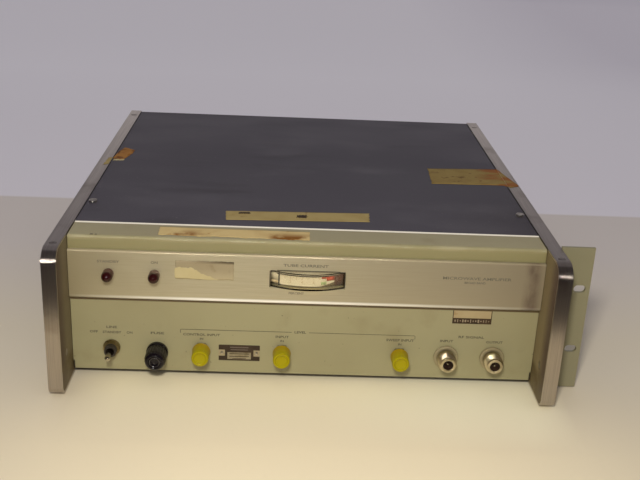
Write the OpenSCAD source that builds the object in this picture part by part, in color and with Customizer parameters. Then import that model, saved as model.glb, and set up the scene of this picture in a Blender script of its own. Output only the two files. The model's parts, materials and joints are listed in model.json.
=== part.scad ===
// Travelling-wave-tube microwave amplifier in a rack-width bench cabinet.
// Millimetres. The cabinet is drawn with x = 0 on its centre line, y = 0 at the front of its edge
// bands and z = 0 on the surface that it stands on. seat() then moves every piece so that the origin
// is the bottom middle of the whole outline, rack ear included.

/* [Cabinet] */
// Width across the outer faces of the two side frames
cab_w = 425.5; // [400:0.5:470]
// Height of the side frames with their edge bands, without the feet
frame_h = 130; // [122:1:160]
// Length of the side frames from front to back
frame_d = 460; // [420:1:520]
// Thickness of a side frame
frame_t = 12; // [10:0.5:15]
// Thickness of the metal band along a frame's top, front and bottom edges
band_t = 1.5; // [1.2:0.1:2.5]
// Radius of the frame's top front corner
top_r = 14; // [13:1:30]
// Radius of the frame's bottom front corner
bottom_r = 8; // [5:1:12]
// Distance from the front of the frames back to the front panel
panel_setback = 41; // [30:1:55]
// Distance from the back of the frames forward to the rear panel
rear_setback = 10; // [6:1:16]
// Height of a frame's rail above and below its window
rail_h = 16; // [14:0.5:22]
// Length of the solid front part of a frame, measured from the panel
cheek_d = 32; // [28:1:45]
// Depth of the frame's rear post
post_d = 20; // [16:1:30]
// Distance from the front of a frame to the screw on its inner face
cheek_screw_y = 20; // [12:0.5:28]
// Height of that screw above the frame's lower edge
cheek_screw_rise = 31; // [20:0.5:60]
// Height of the low rubber feet
foot_h = 2; // [1.5:0.5:8]
// Length of a foot
foot_l = 34; // [20:1:60]

/* [Covers] */
// Thickness of the top and bottom cover sheets
cover_t = 1.5; // [1:0.1:2]
// Thickness of the side cover sheets
side_t = 1.5; // [1:0.1:2.5]
// How far the top cover lies below the edge bands
cover_drop = 1; // [0.5:0.1:2]
// How far the bottom cover lies above the frames' lower edges
bottom_lift = 3; // [2:0.5:6]
// Gap left around a sheet that drops into a frame
sheet_gap = 0.3; // [0.2:0.05:0.6]
// Width of the ledge that carries a cover
ledge_w = 12; // [9:0.5:16]
// Thickness of that ledge
ledge_t = 4; // [3:0.5:6]
// Distance from the front of the frames to the two top cover screws
cover_screw_y = 124; // [110:1:160]

/* [Front panel] */
// Thickness of the lower panel
panel_t = 3; // [2:0.5:4]
// Thickness of the plate behind the panels that carries the controls
subpanel_t = 2; // [1.5:0.5:3]
// Thickness of the rear panel
rear_t = 2; // [1.5:0.5:3]
// Height of the bare metal upper panel
upper_h = 44; // [40:1:52]
// How far the upper panel stands in front of the lower one
upper_proud = 3; // [2:0.5:4]
// Radius of the upper panel's top edge
upper_top_r = 1.2; // [0.5:0.1:2.5]
// Radius of the upper panel's bottom edge
upper_bottom_r = 2.8; // [1:0.1:4]
// Height of the top rail's front face
rail_face_h = 12.2; // [9:0.1:18]
// Radius of the top rail's front corner
rail_r = 2.5; // [1:0.25:3.5]
// Depth of the top rail's flat strip, from the panel back to the top cover
top_strip = 32; // [20:1:40]
// Gap between a panel's ends and the frames
panel_gap = 0.4; // [0.2:0.1:1]
// Height of the lower controls above the lower edge of the panel
control_rise = 21.2; // [18:0.1:26]
// Distance from the left frame to the first column of controls
first_inset = 33.8; // [28:0.1:42]
// Distance between the two lamps
lamp_pitch = 38.4; // [32:0.1:46]
// Height of the lamps above the lower edge of the upper panel
lamp_rise = 23.7; // [18:0.1:28]
// Height of the meter's middle above the lower edge of the upper panel
meter_rise = 23.1; // [20:0.1:25]
// Distance from the line switch to the fuse holder
fuse_pitch = 39.2; // [34:0.1:48]
// How far the fuse holder's middle lies below the line of the other controls
fuse_drop = 3; // [0:0.5:6]
// Distance from the fuse holder to the first modulation jack
jack_lead = 38.2; // [30:0.1:46]
// Distance from the first modulation jack to the second
jack_pitch = 69.5; // [60:0.5:80]
// Distance from the last modulation jack to the radio-frequency input jack
rf_lead = 41; // [34:0.5:46]
// Distance between the two radio-frequency jacks
rf_pitch = 40.6; // [38:0.1:46]
// Distance from the right frame to the output jack
rf_inset = 36.7; // [32:0.1:46]
// Clearance between a control's shank and its hole, on the radius
hole_gap = 0.25; // [0.15:0.05:0.5]

/* [Rack ear] */
// Distance from the cabinet's centre line to the ear's outer edge
ear_half = 241.3; // [236:0.1:262]
// Height of the ear
ear_h = 132.6; // [120:0.1:134]
// Thickness of the ear
ear_t = 3; // [2:0.5:4]
// Depth of the ear's leg along the side frame
ear_leg_d = 20; // [15:1:24]
// How far the ear's middle lies above the frame's middle
ear_shift = 0.5; // [0:0.1:1.5]
// Vertical distance between the two rack slots
slot_pitch = 57.15; // [44:0.05:76.2]
// Width of a slot
slot_w = 6.8; // [5:0.1:8]
// Length of a slot
slot_l = 10.3; // [8.5:0.1:13]
// Distance from the ear's outer edge to the middle of a slot
slot_edge = 8.8; // [7.5:0.1:12]

/* [Line switch] */
// Radius of the switch bushing
bushing_r = 5.2; // [5:0.05:6.5]
// How far the bushing stands out of the panel
bushing_out = 9; // [7:0.5:12]
// Length of the lever from its pivot to its tip
lever_l = 20.5; // [17:0.5:26]
// Radius of the lever at its neck
lever_neck_r = 1.6; // [1.2:0.1:1.9]
// Radius of the lever near its tip
lever_tip_r = 2.5; // [2.2:0.1:3.2]
// Radius and half height of the lever's pivot barrel
lever_hub_r = 2.4; // [2:0.05:2.8]
// Length of the switch case along the panel
switch_l = 34; // [26:1:40]
// Height of the switch case
switch_h = 19; // [15:0.5:24]
// Depth of the switch case
switch_d = 25; // [18:1:32]

/* [Fuse holder] */
// Radius of the holder's barrel
fuse_barrel_r = 7; // [6.5:0.1:8]
// Radius of the holder's bore
fuse_bore_r = 5; // [4.8:0.1:5.8]
// Length of the holder behind the panel plate
fuse_barrel_l = 38; // [34:1:46]
// Radius of the holder's flange
fuse_flange_r = 9.4; // [8.5:0.1:12]
// Thickness of that flange
fuse_flange_t = 3; // [2:0.5:4]
// Radius of the cap's grip
fuse_cap_r = 9.1; // [8:0.1:11]
// Length of the cap's grip
fuse_cap_l = 17.5; // [14:0.5:26]
// Radius of the glass fuse
fuse_r = 3.2; // [2.5:0.05:3.3]
// Length of the glass fuse
fuse_l = 31; // [25:0.5:33]

/* [Modulation jacks] */
// Radius of the jack's barrel
bnc_r = 4.8; // [4.4:0.05:5.4]
// How far the jack stands out of the panel
bnc_out = 13; // [11:0.5:15]
// Distance from the jack's axis to the end of its bayonet lugs
bnc_lug_reach = 5.55; // [5.45:0.05:6.2]
// Radius of the dust cap
cap_r = 7.8; // [7:0.1:9.5]
// Length of the dust cap
cap_l = 15.5; // [13.5:0.5:18]
// Clearance of the dust cap over the lugs, on the radius
cap_gap = 0.1; // [0.05:0.05:0.2]

/* [Radio-frequency jacks] */
// Radius of the jack's threaded barrel
rf_r = 7.94; // [7.5:0.01:8.5]
// Length of that barrel
rf_l = 14; // [11:0.5:17]
// Radius of the jack's flange
rf_flange_r = 10.8; // [9.5:0.1:13]
// Thickness of the flange
rf_flange_t = 3; // [2:0.5:4]
// Radius of the jack's mouth
rf_mouth_r = 4.8; // [4.2:0.1:5.6]
// Length of the jack's tail behind the panel plate
rf_tail_l = 14; // [10:0.5:18]
// Radius of the coaxial lines
line_r = 2.6; // [1.8:0.1:3.2]
// Bend radius of the coaxial lines, on their middle
line_bend = 11; // [8:0.5:14]

/* [Lamps] */
// Radius of a lamp lens
lens_r = 4.6; // [4:0.1:6]
// How far a lens stands out of the upper panel
lens_out = 13; // [9:0.5:16]
// Radius of the lens shank
lens_shank_r = 3.6; // [3:0.1:3.9]
// Radius of a lamp holder
lamp_holder_r = 7; // [6:0.1:9]
// Length of a lamp holder
lamp_holder_l = 24; // [20:1:32]

/* [Meter] */
// Half width of the meter window
window_hw = 31.4; // [27:0.1:34]
// Half height of the meter window
window_hh = 7.6; // [6.8:0.1:9]
// Outer radius of the curved window
window_r = 64.4; // [60:0.1:80]
// How far the window bulges out of the upper panel
window_bulge = 6; // [4:0.5:8]
// Wall of the window
window_t = 1.2; // [0.8:0.1:1.6]
// Half width of the meter case
case_hw = 37; // [36.5:0.5:42]
// Half height of the meter case
case_hh = 16; // [15:0.5:19]
// Wall of the meter case
case_t = 2; // [1.5:0.1:2.5]
// Angle of the pointer to the left of the middle, at rest
pointer_rest = 23; // [18:0.5:24]
// Half angle of the scale
scale_half = 26; // [24.5:0.5:26.5]

/* [Chassis] */
// Height of the deck's top face above the lower edge of the panel
deck_rise = 43.5; // [41:0.5:48]
// Thickness of the deck
deck_t = 2; // [1.5:0.5:3]
// Height of the deck's side flanges
deck_flange = 14; // [10:1:18]
// Radius of the travelling-wave tube's magnet barrel
twt_r = 24; // [20:0.5:26]
// Height of the barrel's middle above the deck
twt_rise = 36; // [33:0.5:40]
// Side of the square fan
fan_s = 76; // [66:1:78]
// Depth of the fan
fan_d = 32; // [26:1:40]
// Distance from the fan up to the top cover
fan_head = 3.5; // [2:0.5:8]
// Width of the power transformer
mains_w = 96; // [80:1:110]
// Depth of the power transformer
mains_d = 78; // [66:1:90]
// Height of the power transformer
mains_h = 70; // [56:1:78]
// Width of the choke
choke_w = 60; // [48:1:70]
// Depth of the choke
choke_d = 48; // [40:1:56]
// Height of the choke
choke_h = 52; // [40:1:64]
// Radius of a filter capacitor
can_r = 17; // [13:0.5:19]
// Height of a filter capacitor
can_h = 66; // [50:1:76]
// Distance between filter capacitors
can_pitch = 42; // [39:1:46]
// Radius of a regulator tube
valve_r = 10.5; // [8:0.5:12]
// Height of a regulator tube
valve_h = 50; // [40:1:60]
// Distance between regulator tubes
valve_pitch = 34; // [31:1:38]
// Width of the circuit board
board_w = 120; // [100:1:135]
// Depth of the circuit board
board_d = 84; // [70:1:95]
// Height of the circuit board above the deck
board_rise = 10; // [8:0.5:14]

/* [Rear panel] */
// Distance from the left frame to the power inlet
inlet_inset = 48; // [38:1:60]
// Distance from the power inlet to the voltage switch
selector_pitch = 48; // [42:1:60]
// Height of the rear controls above the lower edge of the panel
rear_rise = 22; // [18:0.5:24]
// Width of the power inlet's mouth
inlet_w = 24; // [20:0.5:26]
// Height of the power inlet's mouth
inlet_h = 16; // [14:0.5:18]
// Depth of the power inlet's mouth
inlet_d = 18; // [16:0.5:22]
// Travel of the voltage switch
selector_travel = 5; // [4:0.5:6]

/* [Hidden] */
$fn = 64;

// A small overlap that keeps joined shapes in one solid, and the reach of a cut past its wall
eps = 0.01;
past = 1;

// Main planes
half = cab_w / 2;
inner = half - frame_t;
z_bot = foot_h;
z_top = foot_h + frame_h;
z_mid = (z_bot + z_top) / 2;
cover_top = z_top - cover_drop;
cover_under = cover_top - cover_t;
panel_bot = z_bot + bottom_lift + cover_t;
panel_y = panel_setback;
sub_y = panel_y + panel_t;
back_y = sub_y + subpanel_t;
rear_y = frame_d - rear_setback;
rear_in = rear_y - rear_t;
rail_bot = cover_top - rail_face_h;
upper_bot = rail_bot - upper_h;
upper_y = panel_y - upper_proud;

// Frame windows and the recesses that take the side covers
window_lip = 6;
frame_window_y0 = panel_y + cheek_d;
frame_window_y1 = frame_d - post_d;
frame_window_z0 = z_bot + rail_h;
frame_window_z1 = z_top - rail_h;

// Places of the controls
control_z = panel_bot + control_rise;
switch_x = -(inner - first_inset);
fuse_x = switch_x + fuse_pitch;
fuse_z = control_z - fuse_drop;
lamp1_x = switch_x;
lamp2_x = lamp1_x + lamp_pitch;
lamp_z = upper_bot + lamp_rise;
meter_z = upper_bot + meter_rise;
jack1_x = fuse_x + jack_lead;
jack2_x = jack1_x + jack_pitch;
rf_out_x = inner - rf_inset;
rf_in_x = rf_out_x - rf_pitch;
jack3_x = rf_in_x - rf_lead;
JACKS = [jack1_x, jack2_x, jack3_x];
RF_JACKS = [rf_in_x, rf_out_x];
LAMPS = [lamp1_x, lamp2_x];

// Screws: machine screws of one thread, with flat heads on the bands and round heads elsewhere
screw_r = 1.5;
screw_hole_r = 1.75;
screw_l = 9;
flat_head_r = 3;
flat_head_t = 0.8;
round_head_r = 3.6;
round_head_t = 2;
slot_cut_w = 0.8;
slot_cut_d = 0.5;
band_screw_lead = 5;
band_screw_tail = 22;
band_screw_ys = [top_r + band_screw_lead, frame_d - band_screw_tail];

// Lugs on the frames that take the rear panel's screws
lug_s = 13;
lug_d = 10;
lug_inset = 12;
lug_zs = [panel_bot + ledge_t + lug_inset, cover_under - ledge_t - lug_inset];

// Ear
ear_z0 = z_mid - ear_h / 2 + ear_shift;
ear_mid = ear_z0 + ear_h / 2;
ear_screw_pitch = 38;
ear_screw_zs = [ear_mid - ear_screw_pitch, ear_mid, ear_mid + ear_screw_pitch];
ear_screw_y = sub_y + ear_leg_d * 0.6;

// Fuse holder
fuse_stem_gap = 0.3;
fuse_stem_r = fuse_bore_r - fuse_stem_gap;
fuse_seat_gap = 0.1;
fuse_seat_d = 6;
fuse_stem_in = 8;
fuse_stem_end = back_y + fuse_stem_in;
fuse_cap_gap = 0.2;
fuse_cap_back = panel_y - fuse_flange_t - fuse_cap_gap;
fuse_y0 = fuse_stem_end - fuse_seat_d;
fuse_end_gap = 1;
fuse_end_wall = 3;
fuse_bore_end = fuse_y0 + fuse_l + fuse_end_gap;
fuse_barrel_end = max(back_y + fuse_barrel_l, fuse_bore_end + fuse_end_wall);
fuse_nut_t = 3;
nut_wall = 4;

// Modulation jacks
bnc_nut_t = 2.5;
bnc_nut_r = 7.5;
bnc_wall = 1.2;
bnc_bore_r = bnc_r - bnc_wall;
bnc_lug_r = 0.95;
bnc_lug_back = 3;
bnc_lug_y = panel_y - bnc_out + bnc_lug_back;
cap_front_t = 2.5;
cap_seat_gap = 0.3;
cap_back = panel_y - bnc_nut_t - cap_seat_gap;
cap_front = cap_back - cap_l;

// Radio-frequency jacks and the coaxial lines behind them
rf_front = panel_y - rf_flange_t - rf_l;
rf_thread_h = 0.6;
rf_shank_r = rf_r - rf_thread_h;
rf_tail_wall = 2.4;
rf_tail_r = line_r + rf_tail_wall;
rf_tail_end = back_y + rf_tail_l;
rf_nut_t = 4;
rf_nut_r = rf_shank_r + nut_wall;
rf_shank_past = 1;
rf_shank_end = back_y + rf_nut_t + rf_shank_past;

// Switch
lever_depth = 6.5;
hub_gap = 0.2;
bushing_bore_r = lever_hub_r * sqrt(2) + hub_gap;
pivot_y = panel_y - bushing_out + lever_depth;
switch_bore_past = 1.2;
switch_bore_end = pivot_y + lever_hub_r + switch_bore_past;
washer_t = 1;
washer_w = 2.3;
washer_r = bushing_r + washer_w;
switch_nut_t = 3;
switch_nut_w = 2.1;
switch_nut_r = bushing_r + switch_nut_w;
lever_neck_past = 2;
nut_gap = 0.1;

// Meter
meter_y = upper_y - window_bulge + window_r;
cutout_gap = 0.4;
scale_back = 2.2;
scale_out = window_r - window_t - scale_back;
scale_t = 1;
scale_lift = 1.6;
scale_drop = 0.6;
scale_z0 = -window_hh + window_t + scale_lift;
scale_z1 = window_hh - window_t - scale_drop;
web_t = 0.8;
needle_gap = 1;
needle_r = scale_out + needle_gap;
needle_t = 0.7;
arm_lift = 0.4;
arm_z0 = -window_hh + window_t + arm_lift;
arm_t = 0.6;
shaft_r = 0.9;
shaft_gap = 0.06;
meter_flange_y = back_y + window_t;
yoke_back = 7;
yoke_d = 15;
yoke_y0 = meter_y + yoke_back;
yoke_y1 = yoke_y0 + yoke_d;
case_end = yoke_y1 + case_t;
bearing_inset = 3;
bearing_z = case_hh - case_t - bearing_inset;

// Deck and what stands on it
deck_z = panel_bot + deck_rise;
deck_under = deck_z - deck_t;
twt_x = (rf_in_x + rf_out_x) / 2;
twt_z = deck_z + twt_rise;
fan_y0 = rear_in - fan_d;
fan_z = cover_under - fan_head - fan_s / 2;
fan_gap = 1;
twt_lead = 54;
twt_tail = 42;
twt_y0 = back_y + twt_lead;
twt_y1 = fan_y0 - twt_tail;
gun_l = 26;
gun_r = twt_r * 0.62;
collector_l = 30;
saddle_t = 9;
saddle_gap = 0.1;
saddle_wall = 8;
saddle_half = twt_r + saddle_wall;
saddle_lead = 44;
saddle_tail = 52;
saddle_ys = [twt_y0 + saddle_lead, twt_y1 - saddle_tail];
port_half = 7;
port_sink = 2;
port_inset = 16;
port_bot = twt_z - twt_r + port_sink;
port_in_y = twt_y0 + port_inset;
port_out_y = twt_y1 - port_inset;
mains_inset = 14;
mains_back = 16;
mains_x = -inner + mains_inset;
mains_y = rear_in - mains_back - mains_d;
choke_inset = 16;
choke_back = 26;
choke_x = -inner + choke_inset;
choke_y = mains_y - choke_back - choke_d;
can_lead = 16;
can_back = 24;
can_x0 = mains_x + mains_w + can_lead + can_r;
can_y = rear_in - can_back - can_r;
valve_inset = 26;
valve_back = 22;
valve_x0 = -inner + valve_inset;
valve_y = choke_y - valve_back - valve_r;
valve_socket_t = 6;
valve_socket_w = 2.5;
valve_socket_r = valve_r + valve_socket_w;
board_lead = 18;
board_back = 20;
board_x = choke_x + choke_w + board_lead;
board_y = can_y - can_r - board_back - board_d;
board_t = 1.6;
board_z = deck_z + board_rise;
standoff_r = 3;
standoff_in = 6;

// Fan
duct_wall = 2.5;
duct_r = fan_s / 2 - duct_wall;
motor_r = fan_s * 0.19;
motor_l = fan_d * 0.42;
blade_gap = 1.5;
blade_tip_r = duct_r - blade_gap;
fan_shaft_r = 2;
fan_shaft_gap = 0.05;
fan_bore_wall = 3;
fan_bore_end = rear_in - fan_bore_wall;
fan_shaft_end_gap = 0.5;
fan_shaft_end = fan_bore_end - fan_shaft_end_gap;
fan_hole_inset = 5;
fan_hole = fan_s / 2 - fan_hole_inset;
fan_screw_in = 6;
guard_wire_r = 1.1;
guard_pad_t = 2 * guard_wire_r;

// Rear controls
rear_z = panel_bot + rear_rise;
inlet_x = -inner + inlet_inset;
inlet_wall = 2;
inlet_rim = 6;
selector_x = inlet_x + selector_pitch;
selector_tab = 5;
selector_h = 5;
selector_case_d = 9;
selector_gap = 0.2;

// Moves a piece from the cabinet's own frame to the part's frame
module seat() translate([-(ear_half - half) / 2, -frame_d / 2, 0]) children();

// Extrudes a (y, z) outline from x0 to x1
module along_x(x0, x1) translate([x0, 0, 0]) rotate([90, 0, 90]) linear_extrude(x1 - x0) children();

// Extrudes an (x, z) outline from y0 to y1
module along_y(y0, y1) translate([0, y1, 0]) rotate([90, 0, 0]) linear_extrude(y1 - y0) children();

// A box between two corners
module box(lo, hi) translate(lo) cube(hi - lo);

// A round bar along y, and one along x
module rod_y(r, y0, y1) translate([0, y0, 0]) rotate([-90, 0, 0]) cylinder(r = r, h = y1 - y0);
module rod_x(r, x0, x1) translate([x0, 0, 0]) rotate([0, 90, 0]) cylinder(r = r, h = x1 - x0);

// A hexagon bar along y, r being the radius over its corners
module hex_y(r, y0, y1) translate([0, y0, 0]) rotate([-90, 0, 0]) cylinder(r = r, h = y1 - y0, $fn = 6);

// A turned piece along y: the outline holds (radius, distance forward of y0)
module turned_y(y0) translate([0, y0, 0]) rotate([90, 0, 0]) rotate_extrude() children();

// A slotted round-head screw that lies along +z, its head standing on z = 0
module round_screw(l) {
    difference() {
        union() {
            cylinder(r = round_head_r, h = round_head_t);
            translate([0, 0, -l]) cylinder(r = screw_r, h = l + eps);
        }
        translate([-round_head_r - past, -slot_cut_w / 2, round_head_t - slot_cut_d])
            cube([2 * (round_head_r + past), slot_cut_w, slot_cut_d + past]);
    }
}

// A slotted flat-head screw that lies along +z, its head flush with z = 0
module flat_screw(l) {
    difference() {
        union() {
            translate([0, 0, -flat_head_t]) cylinder(r = flat_head_r, h = flat_head_t);
            translate([0, 0, -l]) cylinder(r = screw_r, h = l - flat_head_t + eps);
        }
        translate([-flat_head_r - past, -slot_cut_w / 2, -slot_cut_d])
            cube([2 * (flat_head_r + past), slot_cut_w, slot_cut_d + past]);
    }
}

// Side view of a frame, shrunk by inset on its top, front and bottom and lengthened at the back
module frame_outline(inset, longer = 0) {
    y0 = inset;
    y1 = frame_d + longer;
    z0 = z_bot + inset;
    z1 = z_top - inset;
    rt = top_r - inset;
    rb = bottom_r - inset;
    translate([y0 + rt, z0]) square([y1 - y0 - rt, z1 - z0]);
    translate([y0, z0 + rb]) square([rt, z1 - rt - z0 - rb]);
    translate([y0 + rb, z0]) square([rt - rb, rb]);
    translate([y0 + rt, z1 - rt]) circle(rt);
    translate([y0 + rb, z0 + rb]) circle(rb);
}

// A rectangle of the (y, z) plane grown by an amount on every side
module grown_window(grow) {
    translate([frame_window_y0 - grow, frame_window_z0 - grow])
        square([frame_window_y1 - frame_window_y0 + 2 * grow, frame_window_z1 - frame_window_z0 + 2 * grow]);
}

// Places its children at each edge band screw of the right frame, head outwards along +z
module at_band_screws() {
    for (y = band_screw_ys) {
        translate([half - frame_t / 2, y, z_top]) children();
        translate([half - frame_t / 2, y, z_bot]) rotate([180, 0, 0]) children();
    }
}

// Places its children at the screw on the right frame's inner face, head outwards along +z
module at_cheek_screw() {
    translate([inner, cheek_screw_y, z_bot + cheek_screw_rise]) rotate([0, -90, 0]) children();
}

// Places its children at each ear screw hole of the right frame, head outwards along +z
module at_ear_screws(x) {
    for (z = ear_screw_zs) translate([x, ear_screw_y, z]) rotate([0, 90, 0]) children();
}

// Places its children at the cover screws of the right frame's ledges, head outwards along +z
module at_cover_screws() {
    translate([inner - ledge_w / 2, cover_screw_y, cover_top]) children();
    translate([inner - ledge_w / 2, cover_screw_y, panel_bot - cover_t]) rotate([180, 0, 0]) children();
}

// Places its children at the rear panel screws of the right frame's lugs, head outwards along +z
module at_rear_screws() {
    for (z = lug_zs) translate([inner - lug_s / 2, rear_y, z]) rotate([-90, 0, 0]) children();
}

// The right side frame: a cast plate with a window, a recess for its side cover, ledges and lugs
module right_frame() {
    difference() {
        union() {
            along_x(inner, half) frame_outline(band_t);
            for (z = [cover_under - ledge_t, panel_bot])
                box([inner - ledge_w, back_y, z], [inner + eps, rear_in, z + ledge_t]);
            for (z = lug_zs)
                box([inner - lug_s, rear_in - lug_d, z - lug_s / 2], [inner + eps, rear_in, z + lug_s / 2]);
        }
        along_x(inner - past, half + past) grown_window(0);
        along_x(half - side_t, half + past) grown_window(window_lip);
        at_cheek_screw() {
            translate([0, 0, -flat_head_t]) cylinder(r = flat_head_r + hole_gap, h = flat_head_t + past);
            translate([0, 0, -screw_l]) cylinder(r = screw_hole_r, h = screw_l);
        }
        at_band_screws() translate([0, 0, -screw_l - past]) cylinder(r = screw_hole_r, h = screw_l + past);
        at_ear_screws(half) translate([0, 0, -screw_l]) cylinder(r = screw_hole_r, h = screw_l + past);
        at_cover_screws() translate([0, 0, -screw_l]) cylinder(r = screw_hole_r, h = screw_l);
        at_rear_screws() translate([0, 0, -screw_l - rear_t]) cylinder(r = screw_hole_r, h = screw_l + past);
    }
}

module left_side_frame() color("darkkhaki") mirror([1, 0, 0]) right_frame();
module right_side_frame() color("darkkhaki") right_frame();

// The satin metal band that wraps a frame's top, front and bottom edges
module right_band() {
    difference() {
        along_x(inner, half) difference() {
            frame_outline(0);
            frame_outline(band_t, past);
        }
        at_band_screws() {
            translate([0, 0, -flat_head_t]) cylinder(r = flat_head_r + hole_gap, h = flat_head_t + past);
            translate([0, 0, -band_t - past]) cylinder(r = screw_hole_r, h = band_t + 2 * past);
        }
    }
}

module left_edge_band() color("silver") mirror([1, 0, 0]) right_band();
module right_edge_band() color("silver") right_band();

// A side cover: a sheet with two rows of air slots, sunk flush in its frame
module right_cover() {
    slot_n = 14;
    slot_h = 26;
    slot_w_air = 4;
    row_gap = 10;
    pitch = (frame_window_y1 - frame_window_y0) / (slot_n + 1);
    difference() {
        along_x(half - side_t, half) grown_window(window_lip - sheet_gap);
        for (i = [1 : slot_n], side = [-1, 1])
            translate([half - side_t - past, frame_window_y0 + i * pitch - slot_w_air / 2,
                       z_mid + side * (slot_h + row_gap) / 2 - slot_h / 2])
                cube([side_t + 2 * past, slot_w_air, slot_h]);
    }
}

module left_side_cover() color("darkslategray") mirror([1, 0, 0]) right_cover();
module right_side_cover() color("darkslategray") right_cover();

// A cover sheet from y0 to the back, at height z, with holes for its screws
module cover_sheet(y0, z) {
    back_inset = 1;
    difference() {
        box([-inner + sheet_gap, y0, z], [inner - sheet_gap, frame_d - back_inset, z + cover_t]);
        for (side = [0, 1]) mirror([side, 0, 0])
            translate([inner - ledge_w / 2, cover_screw_y, z - past])
                cylinder(r = screw_hole_r, h = cover_t + 2 * past);
    }
}

module top_cover() color("darkslategray") cover_sheet(panel_y + top_strip + sheet_gap, cover_under);
module bottom_cover() color("darkslategray") cover_sheet(sub_y, panel_bot - cover_t);

// The top rail: an angle whose face shows above the upper panel and whose strip meets the top cover
module top_rail() {
    bead_w = 1.4;
    bead_h = 0.5;
    color("darkkhaki") along_x(-inner + panel_gap, inner - panel_gap) {
        translate([panel_y, rail_bot]) square([panel_t, rail_face_h - rail_r]);
        translate([panel_y + rail_r, cover_under]) square([top_strip - rail_r, cover_t]);
        intersection() {
            translate([panel_y + rail_r, cover_top - rail_r]) circle(rail_r);
            translate([panel_y, cover_top - rail_r]) square([rail_r, rail_r]);
        }
        if (panel_t > rail_r)
            translate([panel_y + rail_r - eps, cover_top - rail_r - eps])
                square([panel_t - rail_r + eps, rail_r + eps]);
        translate([panel_y + top_strip - bead_w, cover_top - eps]) square([bead_w, bead_h + eps]);
    }
}

// Holes through the panels for the lower controls
module lower_holes() {
    translate([switch_x, 0, control_z]) rod_y(bushing_r + hole_gap, panel_y - past, back_y + past);
    translate([fuse_x, 0, fuse_z]) rod_y(fuse_barrel_r + hole_gap, panel_y - past, back_y + past);
    for (x = JACKS) translate([x, 0, control_z]) rod_y(bnc_r + hole_gap, panel_y - past, back_y + past);
    for (x = RF_JACKS) translate([x, 0, control_z])
        rod_y(rf_shank_r + hole_gap, panel_y - past, back_y + past);
}

// Holes through the panels for the lamps and the meter
module upper_holes() {
    for (x = LAMPS) translate([x, 0, lamp_z]) rod_y(lens_shank_r + hole_gap, upper_y - past, back_y + past);
    box([-window_hw - cutout_gap, upper_y - past, meter_z - window_hh - cutout_gap],
        [window_hw + cutout_gap, back_y + past, meter_z + window_hh + cutout_gap]);
}

// The bare metal upper panel, a thick strip with rounded long edges
module upper_panel() {
    rt = upper_top_r;
    rb = upper_bottom_r;
    deep = sub_y - upper_y;
    color("silver") difference() {
        along_x(-inner + panel_gap, inner - panel_gap) translate([upper_y, upper_bot]) {
            translate([rb, 0]) square([deep - rb, upper_h]);
            translate([0, rb]) square([rb, upper_h - rb - rt]);
            translate([rt, upper_h - rt]) square([rb - rt, rt]);
            translate([rb, rb]) circle(rb);
            translate([rt, upper_h - rt]) circle(rt);
        }
        upper_holes();
    }
}

module lower_panel() {
    color("darkkhaki") difference() {
        box([-inner + panel_gap, panel_y, panel_bot], [inner - panel_gap, sub_y, upper_bot]);
        lower_holes();
    }
}

// The plate behind the panels
module sub_panel() {
    color("lightgray") difference() {
        box([-inner, sub_y, panel_bot], [inner, back_y, cover_under]);
        lower_holes();
        upper_holes();
    }
}

// The rear panel, with the fan's opening, air slots and the holes of the rear controls
module rear_panel() {
    slot_n = 12;
    slot_pitch_air = 13;
    slot_w_air = 5;
    slot_rise = 18;
    slot_h = 40;
    slot_z = deck_z + slot_rise;
    color("lightgray") difference() {
        box([-inner, rear_in, panel_bot], [inner, rear_y, cover_under]);
        translate([twt_x, 0, fan_z]) {
            rod_y(duct_r, rear_in - past, rear_y + past);
            for (x = [-1, 1], z = [-1, 1])
                translate([x * fan_hole, 0, z * fan_hole]) rod_y(screw_hole_r, rear_in - past, rear_y + past);
        }
        for (i = [0 : slot_n - 1])
            box([mains_x + i * slot_pitch_air, rear_in - past, slot_z],
                [mains_x + i * slot_pitch_air + slot_w_air, rear_y + past, slot_z + slot_h]);
        for (side = [0, 1]) mirror([side, 0, 0])
            at_rear_screws() translate([0, 0, -rear_t - past])
                cylinder(r = screw_hole_r, h = rear_t + 2 * past);
        inlet_hole(hole_gap);
        box([selector_x - selector_tab / 2 - selector_travel / 2 - selector_gap, rear_in - past,
             rear_z - selector_h / 2 - selector_gap],
            [selector_x + selector_tab / 2 + selector_travel / 2 + selector_gap, rear_y + past,
             rear_z + selector_h / 2 + selector_gap]);
    }
}

// The deck that carries the tube, the power supply and the circuit board, cut away round the fan
module chassis_deck() {
    line_gap = 2;
    color("lightgray") difference() {
        union() {
            box([-inner, back_y, deck_under], [inner, rear_in, deck_z]);
            for (x = [-inner, inner - deck_t])
                box([x, back_y, deck_z - deck_flange], [x + deck_t, rear_in, deck_under + eps]);
        }
        for (p = [[rf_in_x, port_in_y], [rf_out_x, port_out_y]])
            translate([p[0], p[1], deck_under - past]) cylinder(r = line_r + line_gap, h = deck_t + 2 * past);
        box([twt_x - fan_s / 2 - fan_gap, fan_y0 - fan_gap, deck_under - past],
            [twt_x + fan_s / 2 + fan_gap, rear_in + past, deck_z + past]);
    }
}

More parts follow.
